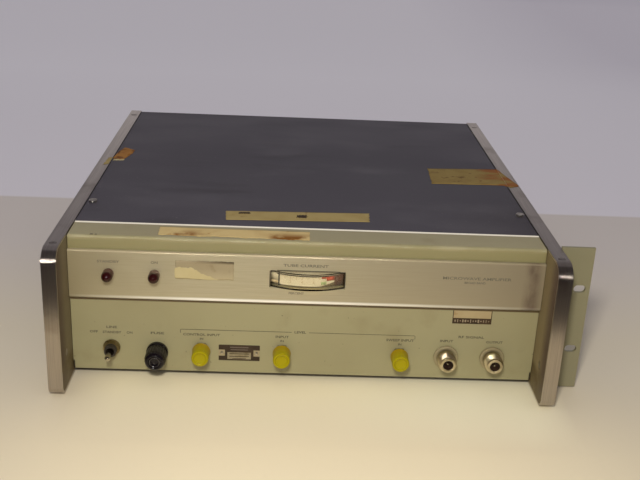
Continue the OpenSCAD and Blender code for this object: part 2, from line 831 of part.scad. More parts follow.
// The rack ear: a flange in the plane of the panel and a leg along the right frame
module rack_ear() {
    leg_in = 12;
    slot_x = ear_half - slot_edge;
    color("darkkhaki") difference() {
        union() {
            box([half, panel_y, ear_z0], [ear_half, sub_y - panel_t + ear_t, ear_z0 + ear_h]);
            box([half, panel_y + eps, ear_z0 + leg_in],
                [half + ear_t, sub_y + ear_leg_d, ear_z0 + ear_h - leg_in]);
        }
        for (side = [-1, 1]) translate([slot_x, 0, ear_mid + side * slot_pitch / 2]) {
            for (end = [-1, 1])
                translate([end * (slot_l - slot_w) / 2, 0, 0])
                    rod_y(slot_w / 2, panel_y - past, panel_y + ear_t + past);
            box([-(slot_l - slot_w) / 2, panel_y - past, -slot_w / 2],
                [(slot_l - slot_w) / 2, panel_y + ear_t + past, slot_w / 2]);
        }
        at_ear_screws(half) cylinder(r = screw_hole_r, h = 2 * ear_t, center = true);
    }
}

module ear_screws() color("silver") at_ear_screws(half + ear_t) round_screw(screw_l - past + ear_t);

module band_screws() {
    color("gray") for (side = [0, 1]) mirror([side, 0, 0]) {
        at_band_screws() flat_screw(screw_l - past);
        at_cheek_screw() flat_screw(screw_l - past);
    }
}

module cover_screws() {
    color("silver") {
        for (side = [0, 1]) mirror([side, 0, 0]) {
            at_cover_screws() round_screw(ledge_t + cover_t);
            at_rear_screws() round_screw(screw_l - past);
        }
        for (x = [-1, 1], z = [-1, 1])
            translate([twt_x + x * fan_hole, rear_y + guard_pad_t, fan_z + z * fan_hole])
                rotate([-90, 0, 0]) round_screw(guard_pad_t + rear_t + fan_screw_in);
    }
}

// Four low rubber feet under the bottom edge bands
module feet() {
    foot_in = 1;
    foot_back = 52;
    color("black") for (side = [0, 1], y = [panel_y, frame_d - foot_back - foot_l]) mirror([side, 0, 0])
        box([inner + foot_in, y, 0], [half - foot_in, y + foot_l, foot_h]);
}

// Line switch: the case behind the panel with its threaded bushing
module line_switch_body() {
    color("dimgray") translate([switch_x, 0, control_z]) difference() {
        union() {
            box([-switch_l / 2, back_y, -switch_h / 2], [switch_l / 2, back_y + switch_d, switch_h / 2]);
            rod_y(bushing_r, panel_y - bushing_out, back_y + eps);
        }
        rod_y(bushing_bore_r, panel_y - bushing_out - past, switch_bore_end);
    }
}

module line_switch_nut() {
    color("silver") translate([switch_x, 0, control_z]) difference() {
        union() {
            rod_y(washer_r, panel_y - washer_t, panel_y);
            hex_y(switch_nut_r, panel_y - washer_t - switch_nut_t, panel_y - washer_t + eps);
        }
        rod_y(bushing_r + nut_gap, panel_y - washer_t - switch_nut_t - past, panel_y + past);
    }
}

// The lever swings left and right on its upright barrel inside the bushing
module line_switch_lever() {
    neck_l = lever_depth + lever_neck_past;
    color("silver") translate([switch_x, 0, control_z]) {
        translate([0, pivot_y, -lever_hub_r]) cylinder(r = lever_hub_r, h = 2 * lever_hub_r);
        turned_y(pivot_y) {
            polygon([[0, 0], [lever_neck_r, 0], [lever_neck_r, neck_l],
                     [lever_tip_r, lever_l - lever_tip_r], [0, lever_l - lever_tip_r]]);
            intersection() {
                translate([0, lever_l - lever_tip_r]) circle(lever_tip_r);
                translate([0, lever_l - lever_tip_r - eps]) square([lever_tip_r, lever_tip_r + eps]);
            }
        }
    }
}

module fuse_holder() {
    color("black") translate([fuse_x, 0, fuse_z]) difference() {
        union() {
            rod_y(fuse_flange_r, panel_y - fuse_flange_t, panel_y);
            rod_y(fuse_barrel_r, panel_y - eps, fuse_barrel_end);
        }
        rod_y(fuse_bore_r, panel_y - fuse_flange_t - past, fuse_bore_end);
    }
}

// The glass fuse with its metal ends
module fuse_cartridge() {
    end_l = 6;
    end_step = 0.25;
    glass_r = fuse_r - end_step;
    color("lightcyan") translate([fuse_x, 0, fuse_z]) {
        rod_y(fuse_r, fuse_y0, fuse_y0 + end_l);
        rod_y(glass_r, fuse_y0 + end_l - eps, fuse_y0 + fuse_l - end_l + eps);
        rod_y(fuse_r, fuse_y0 + fuse_l - end_l, fuse_y0 + fuse_l);
    }
}

// The fluted cap with the stem that carries the fuse
module fuse_cap() {
    flutes = 20;
    flute_r = 0.6;
    flute_stop = 3;
    nose_l = 1.5;
    nose_step = 1.2;
    dish_d = 1;
    front = fuse_cap_back - fuse_cap_l;
    dish_r = fuse_cap_r * 0.55;
    color("black") translate([fuse_x, 0, fuse_z]) difference() {
        union() {
            rod_y(fuse_cap_r, front + nose_l, fuse_cap_back);
            rod_y(fuse_cap_r - nose_step, front, front + nose_l + eps);
            rod_y(fuse_stem_r, fuse_cap_back - eps, fuse_stem_end);
        }
        for (i = [0 : flutes - 1]) rotate([0, i * 360 / flutes, 0])
            translate([fuse_cap_r, 0, 0]) rod_y(flute_r, front - past, fuse_cap_back - flute_stop);
        rod_y(dish_r, front - past, front + dish_d);
        rod_y(fuse_r + fuse_seat_gap, fuse_y0, fuse_stem_end + past);
    }
}

// A bayonet jack: shoulder behind the plate, barrel through the panel, two lugs and a centre socket
module bayonet_jack(x) {
    shoulder_t = 3;
    tail_l = 9;
    tail_step = 1;
    tail_r = bnc_r - tail_step;
    bore_d = 9;
    contact_r = 1.1;
    contact_sink = 2;
    front = panel_y - bnc_out;
    color("silver") translate([x, 0, control_z]) {
        difference() {
            union() {
                rod_y(bnc_r, front, back_y + eps);
                rod_y(bnc_nut_r, back_y, back_y + shoulder_t);
                rod_y(tail_r, back_y + shoulder_t - eps, back_y + shoulder_t + tail_l);
                translate([0, bnc_lug_y, 0]) rod_x(bnc_lug_r, -bnc_lug_reach, bnc_lug_reach);
            }
            rod_y(bnc_bore_r, front - past, front + bore_d);
        }
        rod_y(contact_r, front + contact_sink, front + bore_d + eps);
    }
}

module modulation_jack_left() bayonet_jack(jack1_x);
module modulation_jack_middle() bayonet_jack(jack2_x);
module modulation_jack_right() bayonet_jack(jack3_x);

// A push-on plastic cap over a bayonet jack
module dust_cap(x) {
    edge_r = 1.2;
    rim_t = 1.6;
    rim_w = 0.5;
    bore_r = bnc_lug_reach + cap_gap;
    color("gold") translate([x, 0, control_z]) turned_y(cap_back) {
        translate([bore_r, 0]) square([cap_r - rim_w - bore_r, cap_l - cap_front_t + eps]);
        translate([0, cap_l - cap_front_t]) square([cap_r - rim_w - edge_r, cap_front_t]);
        translate([bore_r, 0]) square([cap_r - bore_r, rim_t]);
        translate([0, cap_l - cap_front_t]) square([cap_r - rim_w, cap_front_t - edge_r]);
        translate([cap_r - rim_w - edge_r, cap_l - edge_r]) circle(edge_r);
    }
}

module dust_cap_left() dust_cap(jack1_x);
module dust_cap_middle() dust_cap(jack2_x);
module dust_cap_right() dust_cap(jack3_x);

// A threaded coaxial jack with its flange on the panel and its tail behind the plate
module threaded_jack(x) {
    mouth_d = 9;
    contact_r = 1.6;
    contact_l = 6;
    ring_gap = 1.4;
    ring_t = 0.8;
    ring_r = rf_mouth_r - ring_gap;
    ring_l = 4;
    color("silver") translate([x, 0, control_z]) {
        difference() {
            union() {
                rod_y(rf_r, rf_front, panel_y - rf_flange_t + eps);
                rod_y(rf_flange_r, panel_y - rf_flange_t, panel_y);
                rod_y(rf_shank_r, panel_y - eps, rf_shank_end);
                rod_y(rf_tail_r, rf_shank_end - eps, rf_tail_end);
            }
            rod_y(rf_mouth_r, rf_front - past, rf_front + mouth_d);
        }
        difference() {
            rod_y(ring_r, rf_front + mouth_d - ring_l, rf_front + mouth_d + eps);
            rod_y(ring_r - ring_t, rf_front + mouth_d - ring_l - past, rf_front + mouth_d);
        }
        rod_y(contact_r, rf_front + mouth_d - contact_l, rf_front + mouth_d + eps);
    }
}

module rf_input_jack() threaded_jack(rf_in_x);
module rf_output_jack() threaded_jack(rf_out_x);

// Nuts of the jacks and the fuse holder: in front for the small jacks, behind for the others
module jack_nuts() {
    color("silver") {
        for (x = JACKS) translate([x, 0, control_z]) difference() {
            hex_y(bnc_nut_r, panel_y - bnc_nut_t, panel_y);
            rod_y(bnc_r + nut_gap, panel_y - bnc_nut_t - past, panel_y + past);
        }
        for (x = RF_JACKS) translate([x, 0, control_z]) difference() {
            hex_y(rf_nut_r, back_y, back_y + rf_nut_t);
            rod_y(rf_shank_r + nut_gap, back_y - past, back_y + rf_nut_t + past);
        }
        translate([fuse_x, 0, fuse_z]) difference() {
            hex_y(fuse_barrel_r + nut_wall, back_y, back_y + fuse_nut_t);
            rod_y(fuse_barrel_r + nut_gap, back_y - past, back_y + fuse_nut_t + past);
        }
    }
}

// A red lens with a round end, and the shank that plugs into its holder
module lamp_lens(x) {
    wall_l = lens_out - lens_r;
    shank_in = 6;
    shank_l = back_y + shank_in - upper_y;
    color("darkred") translate([x, 0, lamp_z]) turned_y(upper_y) {
        translate([0, -shank_l]) square([lens_shank_r, shank_l + eps]);
        square([lens_r, wall_l + eps]);
        intersection() {
            translate([0, wall_l]) circle(lens_r);
            translate([0, wall_l]) square([lens_r, lens_r]);
        }
    }
}

module standby_lamp_lens() lamp_lens(lamp1_x);
module on_lamp_lens() lamp_lens(lamp2_x);

lamp_floor = 4;
neon_gap = 1.4;
neon_sink = 8;
lamp_bore_l = lamp_holder_l - lamp_floor;
neon_r = lens_shank_r - neon_gap;
neon_l = lamp_bore_l - neon_sink;

module lamp_holders() {
    color("black") for (x = LAMPS) translate([x, 0, lamp_z]) difference() {
        rod_y(lamp_holder_r, back_y, back_y + lamp_holder_l);
        rod_y(lens_shank_r + hole_gap, back_y - past, back_y + lamp_bore_l);
    }
}

module neon_lamps() {
    color("orange") for (x = LAMPS) translate([x, 0, lamp_z])
        rod_y(neon_r, back_y + lamp_bore_l - neon_l, back_y + lamp_bore_l);
}

// Moves its children to the meter's pivot
module at_meter() translate([0, meter_y, meter_z]) children();

// A sector of a disc of the (x, y) plane that opens towards the front
module front_sector(r, half_angle) {
    reach = r / cos(half_angle);
    hx = reach * sin(half_angle);
    y = -reach * cos(half_angle);
    intersection() {
        circle(r);
        polygon([[0, 0], [-hx, y], [-hx, y - past], [hx, y - past], [hx, y]]);
    }
}

// The clear window: a shell with a bowed front, flanged behind the panel plate
module meter_window() {
    hw = window_hw;
    hh = window_hh;
    t = window_t;
    color("lightcyan") difference() {
        union() {
            intersection() {
                at_meter() translate([0, 0, -hh]) cylinder(r = window_r, h = 2 * hh);
                box([-hw, upper_y - window_bulge - past, meter_z - hh], [hw, meter_flange_y, meter_z + hh]);
            }
            box([-case_hw, back_y, meter_z - case_hh], [case_hw, meter_flange_y, meter_z + case_hh]);
        }
        intersection() {
            at_meter() translate([0, 0, -hh + t]) cylinder(r = window_r - t, h = 2 * (hh - t));
            box([-hw + t, upper_y - window_bulge - past, meter_z - hh],
                [hw - t, meter_flange_y + past, meter_z + hh]);
        }
    }
}

module meter_case() {
    color("dimgray") difference() {
        box([-case_hw, meter_flange_y, meter_z - case_hh], [case_hw, case_end, meter_z + case_hh]);
        box([-case_hw + case_t, meter_flange_y - past, meter_z - case_hh + case_t],
            [case_hw - case_t, yoke_y1, meter_z + case_hh - case_t]);
    }
}

// The curved scale with the web and the two strips that hold it to the movement
module meter_scale() {
    web_d = 26;
    web_in = scale_out - web_d;
    strip_w = 4;
    strip_x = 8;
    strip_lap = 4;
    color("ivory") at_meter() {
        translate([0, 0, scale_z0]) linear_extrude(scale_z1 - scale_z0) difference() {
            front_sector(scale_out, scale_half);
            circle(scale_out - scale_t);
        }
        translate([0, 0, scale_z1 - web_t]) linear_extrude(web_t) difference() {
            front_sector(scale_out - scale_t / 2, scale_half);
            circle(web_in);
        }
        for (x = [-strip_x - strip_w, strip_x])
            box([x, -web_in - strip_lap, scale_z1 - web_t], [x + strip_w, yoke_y0 - meter_y, scale_z1]);
    }
}

// The pointer: an upright shaft with its coil, a low arm and a needle that stands before the scale
module meter_pointer() {
    coil_r = 5;
    coil_h = 7;
    arm_w = 1.6;
    needle_w = 0.9;
    color("black") at_meter() rotate([0, 0, -pointer_rest]) {
        translate([0, 0, -bearing_z]) cylinder(r = shaft_r, h = 2 * bearing_z);
        translate([0, 0, arm_z0]) cylinder(r = coil_r, h = coil_h);
        box([-arm_w / 2, -needle_r - needle_t / 2, arm_z0], [arm_w / 2, 0, arm_z0 + arm_t]);
        box([-needle_w / 2, -needle_r - needle_t / 2, arm_z0],
            [needle_w / 2, -needle_r + needle_t / 2, scale_z1]);
    }
}

// The magnet yoke, with an arm above and below that holds the pointer's shaft
module meter_movement() {
    yoke_half = 14;
    arm_half = 4;
    arm_thick = 4;
    color("slategray") at_meter() difference() {
        union() {
            box([-yoke_half, yoke_y0 - meter_y, -case_hh + case_t],
                [yoke_half, yoke_y1 - meter_y, case_hh - case_t]);
            for (z = [-case_hh + case_t, case_hh - case_t - arm_thick])
                box([-arm_half, -arm_half, z], [arm_half, yoke_y0 - meter_y + eps, z + arm_thick]);
        }
        translate([0, 0, -bearing_z - shaft_gap])
            cylinder(r = shaft_r + shaft_gap, h = 2 * (bearing_z + shaft_gap));
    }
}

// The travelling-wave tube: gun, magnet barrel with its rings, collector and two coaxial ports
module travelling_wave_tube() {
    ring_n = 16;
    ring_t = 5;
    ring_h = 1.5;
    ring_lead = 58;
    ring_tail = 62;
    ring_step = (twt_y1 - twt_y0 - ring_lead - ring_tail) / ring_n;
    fin_n = 4;
    fin_t = 2;
    fin_step = collector_l / (fin_n + 1);
    color("goldenrod") {
        translate([twt_x, 0, twt_z]) {
            rod_y(twt_r, twt_y0, twt_y1);
            rod_y(gun_r, twt_y0 - gun_l, twt_y0 + eps);
            rod_y(twt_r * 0.8, twt_y1 - eps, twt_y1 + collector_l);
            for (i = [1 : fin_n])
                rod_y(twt_r * 1.15, twt_y1 + i * fin_step, twt_y1 + i * fin_step + fin_t);
            for (i = [1 : ring_n])
                rod_y(twt_r + ring_h, twt_y0 + ring_lead + i * ring_step,
                      twt_y0 + ring_lead + i * ring_step + ring_t);
        }
        for (p = [[rf_in_x, port_in_y], [rf_out_x, port_out_y]])
            box([p[0] - port_half, p[1] - port_half, port_bot], [p[0] + port_half, p[1] + port_half, twt_z]);
    }
}

// Two saddles under the barrel
module tube_saddles() {
    color("silver") for (y = saddle_ys) difference() {
        box([twt_x - saddle_half, y, deck_z], [twt_x + saddle_half, y + saddle_t, twt_z]);
        translate([twt_x, 0, twt_z]) rod_y(twt_r + saddle_gap, y - past, y + saddle_t + past);
    }
}

// A rigid coaxial line: straight back from its jack, round one bend and up to its port
module coaxial_line(x, port_y) {
    straight_end = port_y - line_bend;
    color("peru") translate([x, 0, control_z]) {
        rod_y(line_r, rf_tail_end, straight_end);
        translate([0, straight_end, line_bend]) rotate([90, 0, 90]) rotate([0, 0, -90])
            rotate_extrude(angle = 90) translate([line_bend, 0]) circle(line_r);
        translate([0, port_y, line_bend]) cylinder(r = line_r, h = port_bot - control_z - line_bend);
    }
}

module rf_input_line() coaxial_line(rf_in_x, port_in_y);
module rf_output_line() coaxial_line(rf_out_x, port_out_y);

// An iron core between two end bells, with its coil showing at the front and back
module wound_block(x, y, w, d, h, bell) {
    coil = h * 0.62;
    translate([x, y, deck_z]) {
        translate([0, bell, 0]) cube([w, d - 2 * bell, h]);
        translate([w * 0.14, 0, (h - coil) / 2]) cube([w * 0.72, d, coil]);
    }
}

mains_bell = 16;
choke_bell = 10;

module power_transformer() {
    color("darkslategray") wound_block(mains_x, mains_y, mains_w, mains_d, mains_h, mains_bell);
}

module filter_choke() {
    color("dimgray") wound_block(choke_x, choke_y, choke_w, choke_d, choke_h, choke_bell);
}

module filter_capacitors() {
    top_t = 2;
    top_step = 2;
    color("silver") for (i = [0 : 2]) translate([can_x0 + i * can_pitch, can_y, deck_z]) {
        cylinder(r = can_r, h = can_h - top_t);
        translate([0, 0, can_h - top_t - eps]) cylinder(r = can_r - top_step, h = top_t + eps);
    }
}

VALVES = [for (i = [0 : 2]) valve_x0 + i * valve_pitch];

module valve_sockets() {
    color("saddlebrown") for (x = VALVES) translate([x, valve_y, deck_z])
        cylinder(r = valve_socket_r, h = valve_socket_t);
}

// Glass envelopes with rounded tops
module regulator_valves() {
    color("lightcyan") for (x = VALVES) translate([x, valve_y, deck_z + valve_socket_t]) {
        cylinder(r = valve_r, h = valve_h - valve_r);
        translate([0, 0, valve_h - valve_r]) intersection() {
            sphere(valve_r);
            translate([0, 0, -eps]) cylinder(r = valve_r, h = valve_r + 2 * eps);
        }
    }
}

// The board, on four standoffs
module circuit_board() {
    color("darkgreen") {
        box([board_x, board_y, board_z], [board_x + board_w, board_y + board_d, board_z + board_t]);
        for (x = [standoff_in, board_w - standoff_in], y = [standoff_in, board_d - standoff_in])
            translate([board_x + x, board_y + y, deck_z]) cylinder(r = standoff_r, h = board_rise + eps);
    }
}

// Two rows of resistors and a row of small capacitors that lie on the board
module board_components() {
    part_r = 2.8;
    part_l = 15;
    cap_h = 16;
    cap_part_r = 6;
    n = 5;
    step = board_w / (n + 1);
    top = board_z + board_t;
    color("peru") for (i = [1 : n]) {
        for (y = [board_d * 0.24, board_d * 0.5]) translate([board_x + i * step, board_y + y, 0])
            box([-part_r, -part_l / 2, top], [part_r, part_l / 2, top + 2 * part_r]);
        translate([board_x + i * step, board_y + board_d * 0.78, top]) cylinder(r = cap_part_r, h = cap_h);
    }
}

// The fan's square housing, with the motor on three struts at its back
module fan_housing() {
    strut_w = 4;
    strut_d = 5;
    color("dimgray") translate([twt_x, 0, fan_z]) {
        difference() {
            box([-fan_s / 2, fan_y0, -fan_s / 2], [fan_s / 2, rear_in, fan_s / 2]);
            rod_y(duct_r, fan_y0 - past, rear_in + past);
            for (x = [-1, 1], z = [-1, 1])
                translate([x * fan_hole, 0, z * fan_hole]) rod_y(screw_hole_r, fan_y0 - past, rear_in + past);
        }
        difference() {
            union() {
                rod_y(motor_r, rear_in - motor_l, rear_in);
                for (a = [90, 210, 330]) rotate([0, a, 0])
                    box([0, rear_in - strut_d, -strut_w / 2], [duct_r + 1, rear_in, strut_w / 2]);
            }
            rod_y(fan_shaft_r + fan_shaft_gap, rear_in - motor_l - past, fan_bore_end);
        }
    }
}

// The rotor: hub, shaft and five pitched blades
module fan_rotor() {
    blades = 5;
    hub_gap = 0.5;
    hub_sink = 3;
    hub_y1 = rear_in - motor_l - hub_gap;
    hub_y0 = fan_y0 + hub_sink;
    blade_t = 1.4;
    blade_root = motor_r * 0.8;
    blade_end_gap = 1;
    pitch = 38;
    mid = (hub_y0 + hub_y1) / 2;
    chord = (hub_y1 - hub_y0) * 1.1;
    color("black") translate([twt_x, 0, fan_z]) {
        rod_y(motor_r, hub_y0, hub_y1);
        rod_y(fan_shaft_r, hub_y1 - eps, fan_shaft_end);
        for (i = [0 : blades - 1]) rotate([0, i * 360 / blades, 0])
            translate([blade_root, mid, 0]) rotate([pitch, 0, 0]) translate([0, -chord / 2, -blade_t / 2])
                cube([blade_tip_r - blade_root - blade_end_gap, chord, blade_t]);
    }
}

// A finger guard of three wire rings and two diagonals, with pads under its four screws
module fan_guard() {
    reach = fan_hole * sqrt(2);
    pad_r = 4.2;
    wire_y = rear_y + guard_wire_r;
    color("silver") translate([twt_x, 0, fan_z]) difference() {
        union() {
            for (r = [0.35, 0.62, 0.9]) translate([0, wire_y + guard_wire_r / 2, 0]) rotate([90, 0, 0])
                rotate_extrude() translate([r * duct_r, 0]) circle(guard_wire_r);
            for (a = [45, -45]) rotate([0, a, 0]) translate([0, wire_y, 0])
                rod_x(guard_wire_r, -reach, reach);
            for (x = [-1, 1], z = [-1, 1])
                translate([x * fan_hole, 0, z * fan_hole]) rod_y(pad_r, rear_y, rear_y + guard_pad_t);
        }
        for (x = [-1, 1], z = [-1, 1])
            translate([x * fan_hole, 0, z * fan_hole])
                rod_y(screw_hole_r, rear_y - past, rear_y + guard_pad_t + past);
    }
}

// The outline of the inlet's body, grown by a gap, through the rear panel
module inlet_hole(gap) {
    hw = inlet_w / 2 + inlet_wall + gap;
    hh = inlet_h / 2 + inlet_wall + gap;
    box([inlet_x - hw, rear_in - past, rear_z - hh], [inlet_x + hw, rear_y + past, rear_z + hh]);
}

// A recessed power inlet with three round pins
module power_inlet() {
    flange_t = 2.5;
    floor_t = 3;
    pin_r = 2;
    pin_sink = 6;
    pin_l = inlet_d - pin_sink;
    pin_x = 7;
    pin_low = 3;
    pin_high = 4;
    rim_h = 2;
    mouth_y = rear_y + flange_t;
    floor_y = mouth_y - inlet_d;
    hw = inlet_w / 2;
    hh = inlet_h / 2;
    color("black") translate([inlet_x, 0, rear_z]) {
        difference() {
            union() {
                box([-hw - inlet_wall - inlet_rim, rear_y, -hh - inlet_wall - rim_h],
                    [hw + inlet_wall + inlet_rim, mouth_y, hh + inlet_wall + rim_h]);
                box([-hw - inlet_wall, floor_y - floor_t, -hh - inlet_wall],
                    [hw + inlet_wall, rear_y + eps, hh + inlet_wall]);
            }
            box([-hw, floor_y, -hh], [hw, mouth_y + past, hh]);
        }
        for (p = [[-pin_x, -pin_low], [pin_x, -pin_low], [0, pin_high]])
            translate([p[0], 0, p[1]]) rod_y(pin_r, floor_y - eps, floor_y + pin_l);
    }
}

// The case of the voltage switch, with the channel that its slider runs in
slider_lip = 4;
slider_edge = 1;
slider_base_w = selector_tab + slider_lip;
slider_base_t = 3;
slider_x = selector_x - selector_travel / 2;

module voltage_switch() {
    channel = slider_base_w + selector_travel + 2 * selector_gap;
    side_wall = 8;
    edge_wall = 7;
    case_w = channel + side_wall;
    case_h = selector_h + edge_wall;
    color("black") translate([selector_x, 0, rear_z]) difference() {
        box([-case_w / 2, rear_in - selector_case_d, -case_h / 2], [case_w / 2, rear_in, case_h / 2]);
        box([-channel / 2, rear_in - slider_base_t - 2 * selector_gap,
             -selector_h / 2 - slider_edge - selector_gap],
            [channel / 2, rear_in + past, selector_h / 2 + slider_edge + selector_gap]);
    }
}

module voltage_slider() {
    tab_out = 1.5;
    color("ivory") translate([slider_x, 0, rear_z]) {
        box([-slider_base_w / 2, rear_in - slider_base_t - selector_gap, -selector_h / 2 - slider_edge],
            [slider_base_w / 2, rear_in - selector_gap, selector_h / 2 + slider_edge]);
        box([-selector_tab / 2, rear_in - selector_gap - eps, -selector_h / 2],
            [selector_tab / 2, rear_y + tab_out, selector_h / 2]);
    }
}

seat() left_side_frame();
seat() right_side_frame();
seat() left_edge_band();
seat() right_edge_band();
seat() left_side_cover();
seat() right_side_cover();
seat() top_cover();
seat() bottom_cover();
seat() top_rail();
seat() upper_panel();
seat() lower_panel();
seat() sub_panel();
seat() rear_panel();
seat() chassis_deck();
seat() rack_ear();
seat() ear_screws();
seat() band_screws();
seat() cover_screws();
seat() feet();
seat() line_switch_body();
seat() line_switch_nut();
seat() line_switch_lever();
seat() fuse_holder();
seat() fuse_cartridge();
seat() fuse_cap();
seat() modulation_jack_left();
seat() modulation_jack_middle();
seat() modulation_jack_right();
seat() dust_cap_left();
seat() dust_cap_middle();
seat() dust_cap_right();
seat() rf_input_jack();
seat() rf_output_jack();
seat() jack_nuts();
seat() standby_lamp_lens();
seat() on_lamp_lens();
seat() lamp_holders();
seat() neon_lamps();
seat() meter_case();
seat() meter_window();
seat() meter_scale();
seat() meter_pointer();
seat() meter_movement();
seat() travelling_wave_tube();
seat() tube_saddles();
seat() rf_input_line();
seat() rf_output_line();
seat() power_transformer();
seat() filter_choke();
seat() filter_capacitors();
seat() valve_sockets();
seat() regulator_valves();
seat() circuit_board();
seat() board_components();
seat() fan_housing();
seat() fan_rotor();
seat() fan_guard();
seat() power_inlet();
seat() voltage_switch();
seat() voltage_slider();
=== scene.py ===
"""A rack-mounting microwave amplifier on a pale table, dressed around its CAD frame.

Lengths below are cabinet millimetres: x from the middle of the cabinet, y back from the noses of
the edge bands, z up from the table. row() turns them into the frame's metres.
"""
import json

import bmesh
import bpy
import numpy as np
from mathutils import Matrix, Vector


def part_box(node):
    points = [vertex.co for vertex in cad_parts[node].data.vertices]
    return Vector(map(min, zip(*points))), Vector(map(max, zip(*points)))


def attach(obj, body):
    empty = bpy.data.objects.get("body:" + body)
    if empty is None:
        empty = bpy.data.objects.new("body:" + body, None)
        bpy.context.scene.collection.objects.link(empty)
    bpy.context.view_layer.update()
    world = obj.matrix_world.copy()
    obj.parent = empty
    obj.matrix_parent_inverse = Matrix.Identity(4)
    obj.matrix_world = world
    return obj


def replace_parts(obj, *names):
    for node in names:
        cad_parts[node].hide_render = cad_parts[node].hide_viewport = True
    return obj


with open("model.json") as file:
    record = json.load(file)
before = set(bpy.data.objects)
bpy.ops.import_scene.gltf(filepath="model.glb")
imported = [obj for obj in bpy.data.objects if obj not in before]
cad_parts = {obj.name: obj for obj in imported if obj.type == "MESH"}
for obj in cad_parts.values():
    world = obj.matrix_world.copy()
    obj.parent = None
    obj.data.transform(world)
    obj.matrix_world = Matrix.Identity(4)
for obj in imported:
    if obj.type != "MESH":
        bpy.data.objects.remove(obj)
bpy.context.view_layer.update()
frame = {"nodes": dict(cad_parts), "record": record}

MM = 0.001


def box_mm(node):
    """A node's lowest and highest corners in cabinet millimetres."""
    low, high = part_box(node)
    return (np.array(low) - ORIGIN) / MM, (np.array(high) - ORIGIN) / MM


left_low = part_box("left_edge_band")[0]
right_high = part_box("right_edge_band")[1]
ORIGIN = np.array([(left_low.x + right_high.x) / 2, left_low.y, 0.0])

PANEL_Y = box_mm("lower_panel")[0][1]
UPPER_Y = box_mm("upper_panel")[0][1]
COVER_Z = box_mm("top_cover")[1][2]
BAND_Z = box_mm("right_edge_band")[1][2]
BAND_IN = box_mm("right_edge_band")[0][0]
BAND_OUT = box_mm("right_edge_band")[1][0]
PRINT_T = 0.03


def row(points):
    """Cabinet millimetres to the frame's metres."""
    return np.asarray(points, float) * MM + ORIGIN


def middle(node):
    """The middle of a node's box in cabinet millimetres."""
    low, high = box_mm(node)
    return (low + high) / 2


def put(name, data):
    """A new object in the scene."""
    obj = bpy.data.objects.new(name, data)
    bpy.context.scene.collection.objects.link(obj)
    return obj


# Finishes

def linear(colour):
    """A colour of 0 to 255 as it is seen, as the linear colour that a shader takes."""
    c = np.asarray(colour, float) / 255.0
    c = np.where(c <= 0.04045, c / 12.92, ((c + 0.055) / 1.055) ** 2.4)
    return (*c.tolist(), 1.0)


def add_node(tree, kind, inputs, **settings):
    """A new shader node with its settings, and its inputs linked or set."""
    made = tree.nodes.new(kind)
    for key, value in settings.items():
        setattr(made, key, value)
    for key, value in inputs.items():
        if isinstance(value, bpy.types.NodeSocket):
            tree.links.new(value, made.inputs[key])
        else:
            made.inputs[key].default_value = value
    return made


class Finish:
    """One procedural finish: a Principled shader whose colour, shine and relief follow patterns in
    Object coordinates."""

    def __init__(self, name, colour, roughness, metallic=0.0, **sockets):
        self.material = bpy.data.materials.new(name)
        self.material.use_nodes = True
        self.tree = self.material.node_tree
        self.shader = self.tree.nodes["Principled BSDF"]
        self.colour = linear(colour)
        self.shader.inputs["Base Color"].default_value = self.colour
        self.shader.inputs["Roughness"].default_value = roughness
        self.shader.inputs["Metallic"].default_value = metallic
        for key, value in sockets.items():
            self.shader.inputs[key.replace("_", " ")].default_value = value
        self.place = self.node("ShaderNodeTexCoord", {}).outputs["Object"]
        self.material.diffuse_color = self.colour

    def node(self, kind, inputs, **settings):
        """A new node of this finish."""
        return add_node(self.tree, kind, inputs, **settings)

    def noise(self, scale, detail, stretch=(1.0, 1.0, 1.0), shift=0.0):
        """Soft noise from 0 to 1, with the pattern drawn out where stretch is small."""
        spot = self.node("ShaderNodeMapping",
                         {"Vector": self.place, "Scale": stretch, "Location": (shift, shift, shift)})
        made = self.node("ShaderNodeTexNoise",
                         {"Vector": spot.outputs[0], "Scale": scale, "Detail": detail})
        return made.outputs[0]

    def span(self, value, low, high):
        """0 below low, 1 above high and even between them."""
        made = self.node("ShaderNodeMapRange", {"Value": value, "From Min": low, "From Max": high})
        return made.outputs[0]

    def along(self, axis):
        """The place along one axis in the frame's metres."""
        return self.node("ShaderNodeSeparateXYZ", {"Vector": self.place}).outputs[axis]

    def ramp(self, axis, low, high):
        """0 to 1 between two places along one axis, in the frame's metres."""
        return self.span(self.along(axis), low, high)

    def ramp_mm(self, axis, low, high):
        """0 to 1 between two places along one axis, in cabinet millimetres."""
        start = ORIGIN["XYZ".index(axis)]
        return self.ramp(axis, low * MM + start, high * MM + start)

    def math(self, operation, a, b):
        """Two values joined by one operation."""
        return self.node("ShaderNodeMath", {0: a, 1: b}, operation=operation).outputs[0]

    def both(self, a, b):
        """Where both patterns are."""
        return self.math("MULTIPLY", a, b)

    def tint(self, amount, colour):
        """The colour so far, mixed with another by a pattern."""
        base = self.shader.inputs["Base Color"]
        before = base.links[0].from_socket if base.links else self.colour
        made = self.node("ShaderNodeMix", {0: amount, 6: before, 7: linear(colour)}, data_type="RGBA")
        self.tree.links.new(made.outputs[2], base)
        return self

    def blotch(self, colour, low, high, *noise, **more):
        """The colour so far, mixed with another where soft noise goes from low to high."""
        return self.tint(self.span(self.noise(*noise, **more), low, high), colour)

    def shine(self, pattern, low, high, socket="Roughness"):
        """Roughness, or the metal share, that goes from low to high with a pattern."""
        made = self.node("ShaderNodeMapRange", {"Value": pattern, "To Min": low, "To Max": high})
        self.tree.links.new(made.outputs[0], self.shader.inputs[socket])
        return self

    def relief(self, height, distance):
        """Small relief from a pattern, as high as distance in metres."""
        made = self.node("ShaderNodeBump", {"Height": height, "Distance": distance, "Strength": 1.0})
        self.tree.links.new(made.outputs[0], self.shader.inputs["Normal"])
        return self


